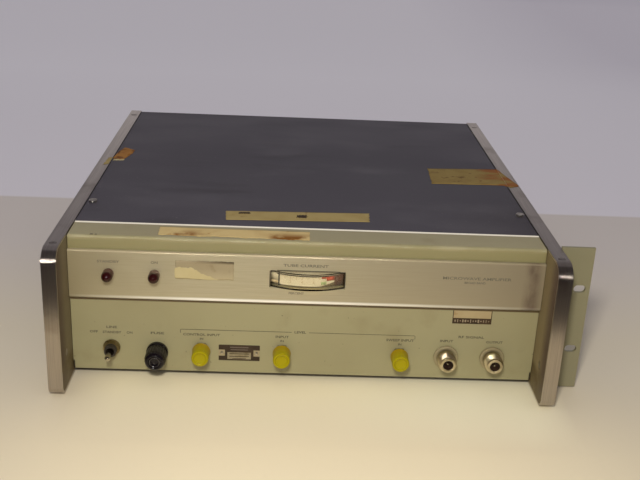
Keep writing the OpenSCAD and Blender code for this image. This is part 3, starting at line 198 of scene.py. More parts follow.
def painted(name, colour, worn, dirt, roughness=0.5):
    """Enamel paint: broad mottling, dull dirt in patches, dark specks and a faint orange-peel relief."""
    paint = Finish(name, colour, roughness)
    paint.blotch(worn, 0.42, 0.72, 9.0, 4.0)
    paint.blotch(dirt, 0.60, 0.82, 26.0, 6.0, shift=3.0)
    paint.blotch((108, 98, 68), 0.75, 0.78, 420.0, 2.0, shift=7.0)
    paint.shine(paint.noise(60.0, 3.0), roughness - 0.08, roughness + 0.1)
    return paint.relief(paint.noise(900.0, 2.0), 0.00004)


def panel_paint():
    """The lower panel's paint, with painted shade in the seam under the upper panel's overhang and in the
    gaps at both foot corners."""
    paint = painted("panel_paint", (153, 146, 109), (146, 138, 102), (138, 128, 92))
    low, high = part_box("lower_panel")
    # Painted shade: a dark line in the seam under the upper panel's overhang.
    paint.tint(paint.ramp("Z", high.z - 2.5 * MM, high.z - 2.1 * MM), (84, 68, 42))
    # Painted shade in the dark gaps between the panel and the frames at both foot corners.
    foot = paint.ramp("Z", low.z + 8.5 * MM, low.z + 7.0 * MM)
    ends = paint.math("MAXIMUM", paint.ramp("X", high.x - 1.4 * MM, high.x - 1.0 * MM),
                      paint.ramp("X", low.x + 1.4 * MM, low.x + 1.0 * MM))
    return paint.tint(paint.both(foot, ends), (40, 30, 18))


def frame_casting():
    """Rough painted casting, greyer on the left frame, darker towards its front edge, and with painted shade
    low down by the panel's ends.
    """
    paint = painted("frame_casting", (132, 117, 82), (120, 104, 70), (100, 83, 54), 0.55)
    paint.tint(paint.ramp("X", 0.0, -0.1), (116, 104, 76))
    paint.tint(paint.ramp_mm("Y", 24.0, 8.0), (82, 64, 50))
    # Painted shade low on the frames' inner faces, in front of the panel's ends.
    low = paint.ramp("Z", 30.0 * MM, 24.0 * MM)
    near = paint.ramp_mm("Y", 46.0, 40.0)
    paint.tint(paint.both(paint.both(low, near), paint.span(paint.noise(70.0, 4.0), 0.25, 0.6)), (92, 76, 42))
    return paint.relief(paint.noise(300.0, 3.0), 0.00012)


def rail_paint():
    """The panels' paint, yellower on its front face, with a painted highlight along the front corner and a
    near-white painted highlight along the rear bead."""
    paint = painted("rail_paint", (154, 145, 112), (148, 138, 105), (138, 126, 92))
    low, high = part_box("top_rail")
    face = paint.ramp("Y", low.y + 3.0 * MM, low.y + 1.0 * MM)
    paint.tint(face, (137, 129, 88))
    # Painted highlight along the front top corner.
    front = paint.ramp("Y", low.y + 6.0 * MM, low.y + 1.0 * MM)
    upper = paint.ramp("Z", high.z - 5.0 * MM, high.z - 2.0 * MM)
    corner = paint.both(paint.both(front, upper), paint.span(paint.noise(30.0, 4.0), 0.2, 0.6))
    paint.tint(corner, (158, 149, 114))
    # Painted highlight: a near-white line along the rear bead.
    bead = paint.ramp("Y", high.y - 2.8 * MM, high.y - 2.3 * MM)
    return paint.tint(bead, (255, 247, 228))


def satin_band():
    """Brushed aluminium: grain drawn out along the band, which spreads each highlight across its width."""
    metal = Finish("satin_band", (188, 179, 168), 0.32, 1.0, Anisotropic=0.9)
    across = metal.node("ShaderNodeCombineXYZ", {"X": 1.0, "Y": 0.02, "Z": 0.02})
    metal.tree.links.new(across.outputs[0], metal.shader.inputs["Tangent"])
    grain = metal.noise(60.0, 4.0, stretch=(40.0, 0.35, 0.35))
    metal.tint(metal.span(grain, 0.35, 0.75), (160, 151, 144))
    metal.blotch((136, 124, 110), 0.56, 0.78, 22.0, 5.0, shift=2.0)
    metal.shine(grain, 0.26, 0.38)
    return metal.relief(grain, 0.000005)


def cover_paint():
    """Charcoal vinyl paint: a fine pebbled relief, pale dust in wiped streaks, paler patches towards the
    back, and rubbed smudges."""
    paint = Finish("cover_paint", (74, 70, 77), 0.6, Specular_IOR_Level=0.25)
    dust = paint.noise(5.0, 6.0, stretch=(1.0, 0.7, 1.0))
    paint.tint(paint.span(dust, 0.45, 0.75), (82, 79, 84))
    paint.blotch((64, 60, 65), 0.58, 0.74, 13.0, 3.0, stretch=(0.5, 1.6, 1.0), shift=5.0)
    wiped = paint.noise(9.0, 7.0, stretch=(0.8, 1.5, 1.0), shift=11.0)
    paint.tint(paint.both(paint.span(wiped, 0.48, 0.66), paint.span(dust, 0.3, 0.6)), (96, 92, 97))
    back_patches = paint.span(paint.noise(16.0, 5.0, stretch=(0.6, 1.4, 1.0), shift=8.0), 0.2, 0.6)
    paint.tint(paint.both(paint.ramp("Y", 0.06, 0.18), back_patches), (88, 84, 90))
    corner = paint.both(paint.ramp("X", 0.08, 0.2), paint.ramp("Y", -0.03, -0.13))
    paint.tint(corner, (62, 57, 62))
    paint.blotch((104, 100, 100), 0.75, 0.78, 500.0, 1.0, shift=1.0)
    paint.shine(dust, 0.5, 0.66)
    return paint.relief(paint.noise(1400.0, 2.0), 0.00005)


def panel_metal():
    """Satin aluminium under clear lacquer: grain along x, a dull stain at the right end, a painted dark
    reflection over its right half, painted shade at its far left end, and a painted highlight along its foot
    and its top edge."""
    metal = Finish("panel_metal", (186, 176, 146), 0.4, 0.3)
    low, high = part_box("upper_panel")
    grain = metal.noise(70.0, 4.0, stretch=(0.5, 1.0, 30.0))
    metal.tint(metal.span(grain, 0.38, 0.74), (176, 165, 135))
    metal.blotch((164, 153, 123), 0.5, 0.8, 8.0, 4.0, shift=4.0)
    # Painted dark reflection, deepening towards the right end.
    metal.tint(metal.ramp("X", -0.06, 0.16), (152, 140, 115))
    # Painted shade at the far left end.
    metal.tint(metal.ramp("X", -0.16, -0.215), (158, 146, 114))
    right_end = metal.ramp("X", high.x - 18.0 * MM, high.x - 11.0 * MM)
    smear = metal.both(right_end, metal.ramp("X", high.x - 1.0 * MM, high.x - 7.0 * MM))
    blots = metal.span(metal.noise(75.0, 4.0, stretch=(1.0, 1.0, 0.5), shift=6.0), 0.30, 0.62)
    metal.tint(metal.both(smear, blots), (106, 88, 74))
    # Painted highlight along the rolled foot, near white and partly metallic.
    foot = metal.ramp("Z", low.z + 4.2 * MM, low.z + 2.4 * MM)
    lit = metal.both(metal.ramp("X", -0.22, -0.10), metal.ramp("X", 0.20, -0.02))
    metal.tint(metal.both(foot, lit), (255, 252, 242))
    metal.shine(metal.both(foot, lit), 0.3, 0.0, "Metallic")
    # Painted highlight along the top edge, fading out towards the right.
    head = metal.ramp("Z", high.z - 1.4 * MM, high.z - 0.6 * MM)
    metal.tint(metal.both(head, metal.ramp("X", 0.24, 0.02)), (196, 182, 150))
    metal.shine(grain, 0.3, 0.44)
    return metal.relief(grain, 0.00001)


def chassis_metal():
    metal = Finish("chassis_metal", (176, 168, 146), 0.38, 0.9)
    metal.blotch((160, 150, 124), 0.42, 0.75, 14.0, 5.0)
    grain = metal.noise(60.0, 3.0, stretch=(0.4, 0.4, 24.0))
    return metal.shine(grain, 0.3, 0.46)


def bright_metal(name, colour, dull, roughness):
    """Plated or plain metal: patches that have gone dull, and fine turning marks in its shine."""
    metal = Finish(name, colour, roughness, 1.0)
    metal.blotch(dull, 0.42, 0.75, 160.0, 4.0)
    return metal.shine(metal.noise(420.0, 2.0), roughness - 0.06, roughness + 0.1)


def moulded(name, colour, pale, roughness, specular=0.5, coat=0.0):
    """Moulded plastic or rubber: slightly uneven colour and a fine skin."""
    skin = Finish(name, colour, roughness, Specular_IOR_Level=specular, Coat_Weight=coat)
    skin.blotch(pale, 0.45, 0.8, 120.0, 4.0)
    skin.shine(skin.noise(200.0, 2.0), roughness - 0.06, roughness + 0.08)
    return skin


def cap_yellow():
    """Soft yellow plastic, darker and more orange towards the panel."""
    skin = moulded("cap_yellow", (160, 147, 2), (150, 136, 2), 0.45, 0.2)
    return skin.tint(skin.ramp_mm("Y", 27.0, 38.0), (158, 128, 14))


def lens_red():
    """Red jewel plastic: nearly black at its face, with painted light glowing through it, redder, along its
    sides.
    """
    skin = moulded("lens_red", (44, 3, 3), (34, 2, 2), 0.16, 0.4)
    return skin.tint(skin.ramp_mm("Y", 30.5, 37.0), (86, 24, 20))


def meter_plastic():
    """Brown meter case, with painted shade, darker and redder, at its right end."""
    skin = moulded("meter_plastic", (140, 122, 96), (122, 104, 80), 0.45)
    return skin.tint(skin.ramp_mm("X", 16.0, 22.0), (64, 34, 24))


def clear_plastic():
    """Clear window plastic that lets light through to the scale behind it."""
    clear = Finish("clear_plastic", (244, 242, 232), 0.04, 0.0, Transmission_Weight=1.0, IOR=1.46)
    clear.shine(clear.noise(80.0, 3.0), 0.02, 0.1)
    path = clear.node("ShaderNodeLightPath", {})
    open_air = clear.node("ShaderNodeBsdfTransparent", {"Color": linear((244, 242, 232))})
    join = clear.node("ShaderNodeMixShader", {0: path.outputs["Is Shadow Ray"],
                                              1: clear.shader.outputs[0], 2: open_air.outputs[0]})
    out = clear.tree.nodes["Material Output"]
    clear.tree.links.new(join.outputs[0], out.inputs["Surface"])
    return clear


def paper(name, colour, stained, rust, from_rust):
    """Old paper or tape: uneven tan, darker stains and rusty patches."""
    sheet = Finish(name, colour, 0.7, Specular_IOR_Level=0.2)
    sheet.blotch(stained, 0.42, 0.75, 60.0, 5.0)
    sheet.blotch(rust, from_rust, from_rust + 0.1, 110.0, 5.0, shift=9.0)
    return sheet


def tape_brown():
    """Brown tape with rust where it climbs onto the band."""
    sheet = paper("tape_brown", (142, 120, 66), (128, 104, 54), (106, 78, 38), 0.60)
    rust = sheet.span(sheet.noise(70.0, 5.0, stretch=(0.5, 1.0, 1.0), shift=2.5), 0.42, 0.58)
    return sheet.tint(sheet.both(sheet.ramp_mm("X", 172.0, 190.0), rust), (138, 84, 36))


def rail_paper():
    """Tan paper with rusty patches towards its left and at its right end, deepest at the front."""
    sheet = paper("rail_paper", (203, 178, 122), (190, 162, 108), (172, 130, 70), 0.66)
    left = sheet.both(sheet.ramp_mm("X", -115.0, -111.0), sheet.ramp_mm("X", -81.0, -95.0))
    right = sheet.ramp_mm("X", -35.0, -29.0)
    rust = sheet.span(sheet.noise(55.0, 5.0, shift=5.5), 0.34, 0.50)
    ends = sheet.both(sheet.math("MAXIMUM", left, right), rust)
    return sheet.tint(sheet.both(ends, sheet.ramp_mm("Y", 61.0, 50.0)), (128, 80, 20))


def glue_ghost():
    """Old glue on the panel: the panel's own tone at its foot, and darker along its far top corner."""
    film = paper("glue_ghost", (154, 141, 111), (149, 135, 105), (142, 127, 97), 0.6)
    film.tint(film.ramp_mm("Z", 105.0, 96.0), (172, 158, 125))
    corner = film.both(film.ramp_mm("X", -100.0, -68.0), film.ramp_mm("Z", 109.5, 111.2))
    return film.tint(corner, (84, 72, 52))


def ink(name, *colour):
    """Printing ink worn thin in places."""
    print_ink = Finish(name, colour, 0.55)
    worn = tuple(min(255, int(c * 1.15) + 8) for c in colour)
    print_ink.blotch(worn, 0.5, 0.75, 700.0, 3.0)
    return print_ink


# Plain paints: colour, worn colour, dirt and roughness
PAINTS = {
    "ear_paint": ((138, 132, 102), (130, 124, 94), (116, 108, 80), 0.5),
    "flange_dull": ((150, 138, 104), (138, 124, 90), (124, 108, 76), 0.45)}

# Plain metals: bright colour, dull colour and roughness
METALS = {
    "screw_steel": ((204, 198, 188), (156, 148, 134), 0.3),
    "dark_screw": ((168, 160, 152), (132, 122, 112), 0.36),
    "nickel": ((196, 188, 168), (150, 140, 116), 0.22),
    "jack_plate": ((208, 196, 164), (166, 152, 116), 0.36),
    "brown_nut": ((140, 124, 84), (104, 90, 58), 0.5),
    "plate_silver": ((176, 168, 148), (140, 130, 108), 0.4),
    "magnet_iron": ((96, 92, 88), (70, 64, 60), 0.45),
    "tube_metal": ((158, 154, 148), (120, 114, 106), 0.35),
    "copper_line": ((186, 122, 82), (138, 82, 54), 0.3),
    "can_metal": ((184, 182, 176), (148, 144, 136), 0.3)}

# Plain plastics, glass and rubber: colour, second colour, roughness, and specular level and coat where
# they aren't the usual ones
PLASTICS = {
    "black_plastic": ((12, 7, 12), (18, 12, 17), 0.24, 0.3),
    "knob_gloss": ((26, 21, 22), (34, 29, 29), 0.16, 0.9),
    "valve_glass": ((150, 158, 152), (112, 116, 110), 0.1, 0.5, 0.5),
    "foot_rubber": ((30, 29, 28), (44, 42, 40), 0.7),
    "switch_case": ((34, 26, 18), (42, 33, 23), 0.5),
    "fuse_glass": ((196, 200, 192), (170, 172, 160), 0.15),
    "neon_glass": ((216, 150, 96), (196, 120, 70), 0.15),
    "scale_cream": ((182, 172, 152), (174, 163, 142), 0.6),
    "pointer_black": ((20, 18, 16), (32, 30, 26), 0.5),
    "transformer_iron": ((46, 46, 50), (64, 62, 62), 0.5),
    "socket_brown": ((78, 52, 34), (96, 66, 44), 0.4),
    "board_green": ((52, 84, 52), (70, 104, 62), 0.45),
    "component_body": ((138, 108, 72), (96, 70, 48), 0.5),
    "fan_plastic": ((34, 34, 36), (50, 48, 50), 0.45),
    "matte_slider": ((150, 36, 30), (124, 26, 24), 0.45),
    "bore_dark": ((50, 32, 22), (64, 44, 30), 0.6)}

# Papers and tapes: colour, stain, rust and the level of the pattern above which rust shows
PAPERS = {
    "tape_tan": ((164, 144, 92), (152, 130, 78), (130, 104, 58), 0.66),
    "scrap_orange": ((160, 110, 48), (140, 88, 34), (100, 58, 26), 0.52),
    "scrap_dark": ((58, 44, 30), (74, 56, 38), (40, 30, 22), 0.6),
    "torn_label": ((188, 174, 130), (180, 164, 118), (168, 150, 104), 0.68),
    "sticker_paper": ((170, 152, 114), (158, 138, 100), (148, 118, 76), 0.62),
    "sticker_dim": ((146, 130, 106), (128, 112, 90), (108, 92, 72), 0.62),
    "plate_brown": ((56, 44, 32), (68, 54, 40), (42, 32, 24), 0.62),
    "plate_dim": ((120, 108, 96), (104, 92, 80), (88, 76, 64), 0.62),
    "plate_pale": ((160, 146, 114), (148, 134, 102), (134, 118, 88), 0.62)}

INKS = {
    "legend_ink": (74, 68, 51), "panel_faint": (104, 98, 80), "window_olive": (74, 62, 34),
    "scale_red": (152, 58, 33), "scale_green": (138, 152, 108), "scale_black": (30, 22, 13),
    "scale_end_shade": (70, 34, 14), "scale_soft": (136, 120, 90), "scale_tan": (170, 152, 122)}

FINISH = {made.__name__: made().material for made in (
    frame_casting, satin_band, cover_paint, panel_paint, rail_paint, panel_metal, chassis_metal,
    cap_yellow, lens_red, meter_plastic, clear_plastic, tape_brown, rail_paper, glue_ghost)}
for make, looks in ((painted, PAINTS), (bright_metal, METALS), (moulded, PLASTICS), (paper, PAPERS),
                    (ink, INKS)):
    FINISH |= {name: make(name, *look).material for name, look in looks.items()}


# The CAD nodes take their finishes and slightly eased edges

EASED = {"top_rail": 0.6, "left_side_frame": 0.8, "right_side_frame": 0.8, "feet": 0.6,
         "power_transformer": 1.0, "filter_choke": 1.0, "fan_housing": 0.8, "voltage_slider": 0.3}
SHARP_ANGLE = np.radians(32.0)
JOIN_MM = 0.002


def dress(node, slot):
    """Joins a node's triangles and gives it its finish. Its sharp edges are eased where it has few
    holes, and kept sharp elsewhere."""
    obj = frame["nodes"][node]
    obj.data.materials.clear()
    obj.data.materials.append(FINISH[slot])
    obj.data.polygons.foreach_set("use_smooth", np.ones(len(obj.data.polygons), bool))
    if "custom_normal" in obj.data.attributes:
        obj.data.attributes.remove(obj.data.attributes["custom_normal"])
    weld = obj.modifiers.new("join", "WELD")
    weld.merge_threshold = JOIN_MM * MM
    if node in EASED:
        ease = obj.modifiers.new("ease", "BEVEL")
        ease.width = EASED[node] * MM
        ease.segments = 2
        ease.limit_method = "ANGLE"
        ease.angle_limit = SHARP_ANGLE
        ease.harden_normals = True
    else:
        crease = obj.modifiers.new("crease", "EDGE_SPLIT")
        crease.split_angle = SHARP_ANGLE


for part in frame["record"]["subparts"]:
    dress(part["node"], part["material_slot"])
for node, finish in (("rack_ear", "ear_paint"), ("top_rail", "rail_paint"),
                     ("line_switch_nut", "brown_nut")):
    frame["nodes"][node].data.materials[0] = FINISH[finish]


# Surfaces made with numpy

def grid_faces(rows, columns, closed=False):
    """Quads between neighbouring points of a grid, with the last column joined to the first if closed."""
    r = np.arange(rows - 1)[:, None]
    c = np.arange(columns if closed else columns - 1)[None, :]
    next_c = (c + 1) % columns
    quads = np.stack([r * columns + c, r * columns + next_c,
                      (r + 1) * columns + next_c, (r + 1) * columns + c], axis=-1)
    return quads.reshape(-1, 4)


def piece(name, points, faces, finish, slot=None, body="cabinet", thick=0.0, smooth=True):
    """A new piece from points in cabinet millimetres. Doubles at poles and seams are merged and the faces
    turned outwards. A thick above 0 makes a sheet of that thickness, grown inwards. The slot is not used."""
    mesh = bpy.data.meshes.new(name)
    mesh.from_pydata(row(points).tolist(), [], faces.tolist() if isinstance(faces, np.ndarray) else faces)
    made = bmesh.new()
    made.from_mesh(mesh)
    bmesh.ops.remove_doubles(made, verts=made.verts, dist=JOIN_MM / 2 * MM)
    if not thick:
        bmesh.ops.recalc_face_normals(made, faces=made.faces)
    made.to_mesh(mesh)
    made.free()
    mesh.polygons.foreach_set("use_smooth", np.full(len(mesh.polygons), smooth))
    obj = put(name, mesh)
    mesh.materials.append(FINISH[finish])
    if thick:
        wall = obj.modifiers.new("wall", "SOLIDIFY")
        wall.thickness = thick * MM
        wall.offset = -1.0
    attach(obj, body)
    return obj


def eased(corners, radius, steps=4):
    """An outline of corners with each inner corner rounded: a quadratic curve that starts and ends
    radius away along its two sides, or half a side where that is shorter."""
    corners = np.asarray(corners, float)
    t = np.linspace(0.0, 1.0, steps)[:, None]
    parts = [corners[:1]]
    for before, here, after in zip(corners[:-2], corners[1:-1], corners[2:]):
        back, ahead = before - here, after - here
        back_l, ahead_l = np.linalg.norm(back), np.linalg.norm(ahead)
        start = here + back / back_l * min(radius, back_l / 2)
        end = here + ahead / ahead_l * min(radius, ahead_l / 2)
        parts.append((1 - t) ** 2 * start + 2 * t * (1 - t) * here + t ** 2 * end)
    parts.append(corners[-1:])
    return np.vstack(parts)


def turned(outline, axis_point, sides=48, flute=0.0, flutes=0, fluted=(0.0, 0.0)):
    """An outline of (radius, y) carried round an axis along y. Between the two y of fluted, the radius
    falls by flute in as many cosine waves as flutes."""
    outline = np.asarray(outline, float)
    angle = np.linspace(0.0, 2 * np.pi, sides, endpoint=False)[None, :]
    radius, y = outline[:, :1], outline[:, 1:]
    inside = (y > fluted[0]) & (y < fluted[1]) & (radius > 2 * flute)
    radius = radius - flute * inside * (0.5 + 0.5 * np.cos(flutes * angle)) ** 2
    x = axis_point[0] + radius * np.cos(angle)
    z = axis_point[2] + radius * np.sin(angle)
    points = np.stack([x, y + 0 * angle, z], axis=-1).reshape(-1, 3)
    return points, grid_faces(len(outline), sides, closed=True)


# The controls of the lower panel and the lamps

JACK_R = 7.94
JACK_NOSE_R = 6.8
JACK_MOUTH = 24.0
JACK_TAIL = box_mm("rf_input_jack")[1][1]
BORE_R = 4.45
BORE_END = 32.6
THREAD_PITCH = 1.3
THREAD_N = 5
FLANGE_R = 10.8
FLANGE_FRONT = PANEL_Y - 3.0
LENS_DEPTH = 5.4


def threaded_jack(name, node):
    """A coaxial jack: open bore inside a flat ring on a narrow nose, thread ridges, smooth barrel and
    tail, with a dull flange round it. A dark lining covers the bore, with a contact pin in it."""
    at, mouth, root = middle(node), JACK_MOUTH, JACK_R - 0.35
    flank = np.array([[-0.75, 0.0], [-0.6, 0.1], [-0.15, 0.42], [0.0, 0.52]])
    ridge = np.vstack([flank, flank[::-1] * (1.0, -1.0) + (0.0, 1.16)]) + (JACK_R, 0.0)
    starts = mouth + 2.6 + THREAD_PITCH * np.arange(THREAD_N)
    thread = (ridge[None] + np.stack([0 * starts, starts], axis=1)[:, None]).reshape(-1, 2)
    bore = [[0.0, BORE_END], [BORE_R, BORE_END], [BORE_R, mouth + 0.3], [4.7, mouth], [4.85, mouth]]
    barrel = [[6.35, mouth], [6.5, mouth + 0.05], [JACK_NOSE_R, mouth + 0.35], [JACK_NOSE_R, mouth + 0.5],
              [JACK_NOSE_R, 25.8], [JACK_NOSE_R, 26.0], [6.95, 26.1], [JACK_R - 0.85, 26.2]]
    tail = [[JACK_R - 0.3, 33.6], [JACK_R - 0.3, PANEL_Y], [JACK_R - 0.6, PANEL_Y],
            [JACK_R - 0.6, 51.0], [5.0, 51.0], [5.0, JACK_TAIL], [0.0, JACK_TAIL]]
    flange = [[root, FLANGE_FRONT], [FLANGE_R - 0.6, FLANGE_FRONT], [FLANGE_R, FLANGE_FRONT + 0.7],
              [FLANGE_R, PANEL_Y], [root, PANEL_Y], [root, FLANGE_FRONT]]
    piece(name + "_flange", *turned(eased(flange, 0.3), at, sides=56), "flange_dull", "jack_plate")
    lining = [[0.0, 31.9], [4.2, 31.9], [4.2, 25.0], [4.4, 24.6], [4.4, 32.5], [0.0, 32.5]]
    piece(name + "_lining", *turned(eased(lining, 0.1), at, sides=40), "bore_dark", "jack_plate")
    pin = [[0.0, 26.4], [0.7, 26.5], [1.2, 27.3], [1.2, 30.6], [2.2, 31.0], [2.2, 31.9], [0.0, 31.9]]
    piece(name + "_pin", *turned(eased(pin, 0.3), at, sides=24), "nickel")
    shell = np.vstack([bore, barrel, thread, tail])
    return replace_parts(piece(name, *turned(shell, at, sides=56), "jack_plate"), node)


def dust_cap(name, node, body):
    """A push-on cap: a cup with a dished front inside a raised ring, and a flared rim."""
    low, high = box_mm(node)
    front, back, outer = low[1], high[1], (high[0] - low[0]) / 2
    side, bore = outer - 0.4, 5.65
    shell = [[0.0, front + 1.5], [side - 2.6, front + 1.5], [side - 1.6, front], [side - 0.9, front + 0.1],
             [side, front + 1.3], [side, back - 1.7], [outer, back - 1.4], [outer, back], [bore, back],
             [bore, front + 2.5], [0.0, front + 2.5]]
    cup = piece(name, *turned(eased(shell, 0.55), middle(node)), "cap_yellow", body=body)
    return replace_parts(cup, node)


def fuse_knob():
    """A fluted bayonet knob with a rounded nose, a dished front and a stem into its holder. A polished
    ring sits in the dish."""
    low, high = box_mm("fuse_cap")
    front, outer, back = low[1], (high[0] - low[0]) / 2, box_mm("fuse_holder")[0][1] - 0.2
    at, stem, stem_bore, stem_end = middle("fuse_cap"), 4.7, 3.3, high[1]
    outline = [[0.0, front + 2.0], [3.2, front + 2.0], [3.5, front + 0.9], [5.0, front + 0.9], [5.3, front],
               [6.6, front], [8.0, front + 1.3], [outer, front + 4.6], [outer, back - 3.2],
               [outer - 0.3, back - 2.6], [outer - 0.3, back], [stem, back], [stem, stem_end],
               [stem_bore, stem_end], [stem_bore, stem_end - 6.0], [0.0, stem_end - 6.0]]
    shape = turned(eased(outline, 0.6), at, sides=180, flute=0.7, flutes=20, fluted=(front + 3.2, back - 2.4))
    knob = piece("fuse_knob_fluted", *shape, "black_plastic", body="fuse_knob")
    ring = [[3.7, front + 0.95], [3.7, front + 0.5], [4.2, front + 0.25], [4.7, front + 0.5],
            [4.7, front + 0.95], [3.7, front + 0.95]]
    piece("fuse_knob_ring", *turned(eased(ring, 0.15), at), "knob_gloss", "black_plastic", "fuse_knob")
    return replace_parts(knob, "fuse_cap")


def lamp_lens(name, node):
    """A red jewel: half an ellipse turned about its axis as the nose, on a short cylinder, with its
    shank in the holder behind."""
    low, high = box_mm(node)
    outer, front, shank, end = (high[0] - low[0]) / 2 + 0.1, low[1] + 0.6, 3.6, high[1]
    turn = np.linspace(0.0, np.pi / 2, 18)[:, None]
    nose = np.hstack([outer * np.sin(turn), front + LENS_DEPTH * (1 - np.cos(turn))])
    back = [[outer, UPPER_Y - 1.2], [outer - 0.1, UPPER_Y], [shank, UPPER_Y], [shank, end], [0.0, end]]
    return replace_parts(piece(name, *turned(np.vstack([nose, back]), middle(node)), "lens_red"), node)


for way in ("input", "output"):
    threaded_jack(f"rf_{way}_shell", f"rf_{way}_jack")
for place in ("left", "middle", "right"):
    dust_cap(f"dust_cup_{place}", f"dust_cap_{place}", f"{place}_cap")
fuse_knob()
for lamp in ("standby", "on"):
    lamp_lens(f"{lamp}_jewel", f"{lamp}_lamp_lens")


# Printing

STROKE_BOLD = 0.07
CAPITAL_SHARE = 0.7


def letters(words, height, bold=0.0):
    """Words as a closed mesh in their own plane: points of (along, up, out) in millimetres with the
    middle of their foot at 0, and the faces. A bold above 0 thickens each stroke."""
    curve = bpy.data.curves.new("words", "FONT")
    curve.body = words
    curve.size = height / CAPITAL_SHARE
    curve.align_x = "CENTER"
    curve.extrude = PRINT_T
    curve.offset = bold
    curve.resolution_u = 2
    made = put("words", curve)
    bpy.context.view_layer.update()
    seen = bpy.context.evaluated_depsgraph_get()
    mesh = bpy.data.meshes.new_from_object(made.evaluated_get(seen))
    points = np.zeros(len(mesh.vertices) * 3)
    mesh.vertices.foreach_get("co", points)
    faces = [list(p.vertices) for p in mesh.polygons]
    bpy.data.objects.remove(made)
    bpy.data.curves.remove(curve)
    bpy.data.meshes.remove(mesh)
    return points.reshape(-1, 3), faces


def legend(name, words, x, z, width, height=2.2, y=PANEL_Y, finish="legend_ink"):
    """Words printed on a front panel, as wide as width, with the middle of their foot at (x, z)."""
    points, faces = letters(words, height, STROKE_BOLD)
    points[:, 0] *= width / np.ptp(points[:, 0])
    placed = np.stack([x + points[:, 0], y - points[:, 2], z + points[:, 1]], axis=1)
    return piece("legend_" + name, placed, faces, finish, "panel_paint", smooth=False)


def strip(name, path, width, y, finish):
    """A printed line: a flat ribbon of one width along a path of (x, z) on a front panel."""
    path = np.asarray(path, float)
    way = np.gradient(path, axis=0)
    across = np.stack([-way[:, 1], way[:, 0]], axis=1) / np.linalg.norm(way, axis=1)[:, None]
    edges = np.stack([path - across * width / 2, path + across * width / 2], axis=1)
    points = np.stack([edges[..., 0], np.full(edges.shape[:2], y - PRINT_T), edges[..., 1]], axis=-1)
    faces = grid_faces(len(path), 2)
    return piece(name, points.reshape(-1, 3), faces, finish, "panel_paint", thick=PRINT_T, smooth=False)


SWITCH_X = middle("line_switch_lever")[0]
FUSE_X = middle("fuse_cap")[0]
JACK_X = [middle(node)[0] for node in ("dust_cap_left", "dust_cap_middle", "dust_cap_right")]
RF_X = [middle(node)[0] for node in ("rf_input_jack", "rf_output_jack")]
LAMP_X = [middle(node)[0] for node in ("standby_lamp_lens", "on_lamp_lens")]
LEGEND_Z = 41.1
HIGH_LEGEND_Z = 46.0
LAMP_LEGEND_Z = 108.2

# Each legend's name, words, middle, foot and width, and its height where it isn't the usual one
SWITCH_LEGENDS = (
    ("line", "LINE", SWITCH_X + 0.5, HIGH_LEGEND_Z, 9.0),
    ("standby", "STANDBY", SWITCH_X + 0.6, LEGEND_Z, 16.0),
    ("off", "OFF", SWITCH_X - 14.8, LEGEND_Z + 0.2, 7.0),
    ("switch_on", "ON", SWITCH_X + 15.7, LEGEND_Z, 5.0),
    ("fuse", "FUSE", FUSE_X + 0.2, LEGEND_Z + 0.3, 11.5))
JACK_LEGENDS = (("CONTROL INPUT", 31.8), ("INPUT", 11.5), ("SWEEP INPUT", 24.3))
SIGNAL_LEGENDS = (
    ("in", "INPUT", RF_X[0] - 0.4, LEGEND_Z + 0.6, 11.5),
    ("out", "OUTPUT", RF_X[1] + 0.9, LEGEND_Z + 0.6, 14.5),
    ("signal", "RF SIGNAL", sum(RF_X) / 2 + 0.5, HIGH_LEGEND_Z, 22.5),
    ("group", "LEVEL", -4.6, HIGH_LEGEND_Z, 10.0))
UPPER_LEGENDS = (
    ("lamp_standby", "STANDBY", LAMP_X[0], LAMP_LEGEND_Z, 18.5),
    ("lamp_on", "ON", LAMP_X[1], LAMP_LEGEND_Z + 0.2, 5.8),
    ("meter", "TUBE CURRENT", -2.0, 109.6, 38.0, 2.4),
    ("meter_unit", "PERCENT", -9.4, 84.4, 13.0, 1.9),
    ("kind", "MICROWAVE AMPLIFIER", 143.0, 102.6, 58.5, 2.5),
    ("band", "BROAD BAND", 141.6, 99.0, 18.0, 1.9))

for words in SWITCH_LEGENDS:
    legend(*words)
for number, (jack_x, (words, width)) in enumerate(zip(JACK_X, JACK_LEGENDS), 1):
    legend(f"jack_{number}", words, jack_x, LEGEND_Z, width)
    legend(f"jack_in_{number}", "IN", jack_x, LEGEND_Z - 3.8, 2.9, 1.8)
for words in SIGNAL_LEGENDS:
    legend(*words)
for words in UPPER_LEGENDS:
    legend(*words, y=UPPER_Y, finish="panel_faint")

LINE_Z = 46.9
LINE_FOOT = LINE_Z - 3.5
LINE_BEND = LINE_Z - 0.6
strip("group_line_left", [[-107.6, LINE_FOOT], [-107.6, LINE_BEND], [-107.2, LINE_Z], [-12.0, LINE_Z]],
      0.5, PANEL_Y, "legend_ink")
strip("group_line_right", [[3.0, LINE_Z], [94.8, LINE_Z], [95.2, LINE_BEND], [95.2, LINE_FOOT]],
      0.45, PANEL_Y, "legend_ink")


# The meter scale

METER_Z = middle("meter_window")[2]
SCALE_LOW, SCALE_HIGH = box_mm("meter_scale")[0][2], box_mm("meter_scale")[1][2]
SCALE_R = 61.0
PIVOT_Y = box_mm("meter_scale")[0][1] + SCALE_R
SWING = np.radians(23.0)
TICK_N = 41


def on_scale(points):
    """Points of (along, up, out) bent onto the scale: along becomes an arc about the pivot."""
    angle = points[:, 0] / SCALE_R
    radius = SCALE_R + points[:, 2]
    return np.stack([radius * np.sin(angle), PIVOT_Y - radius * np.cos(angle), points[:, 1]], axis=1)


def scale_band(name, start, end, low, high, finish):
    """A printed band between two angles and two heights, on the scale's face."""
    count = max(2, int((end - start) / np.radians(1.5)))
    along = np.linspace(start, end, count) * SCALE_R
    a, z = np.meshgrid(along, [low, high], indexing="ij")
    flat = np.stack([a, z, np.full(a.shape, PRINT_T)], axis=-1).reshape(-1, 3)
    return piece("scale_" + name, on_scale(flat), grid_faces(count, 2), finish, "scale_cream", thick=PRINT_T)


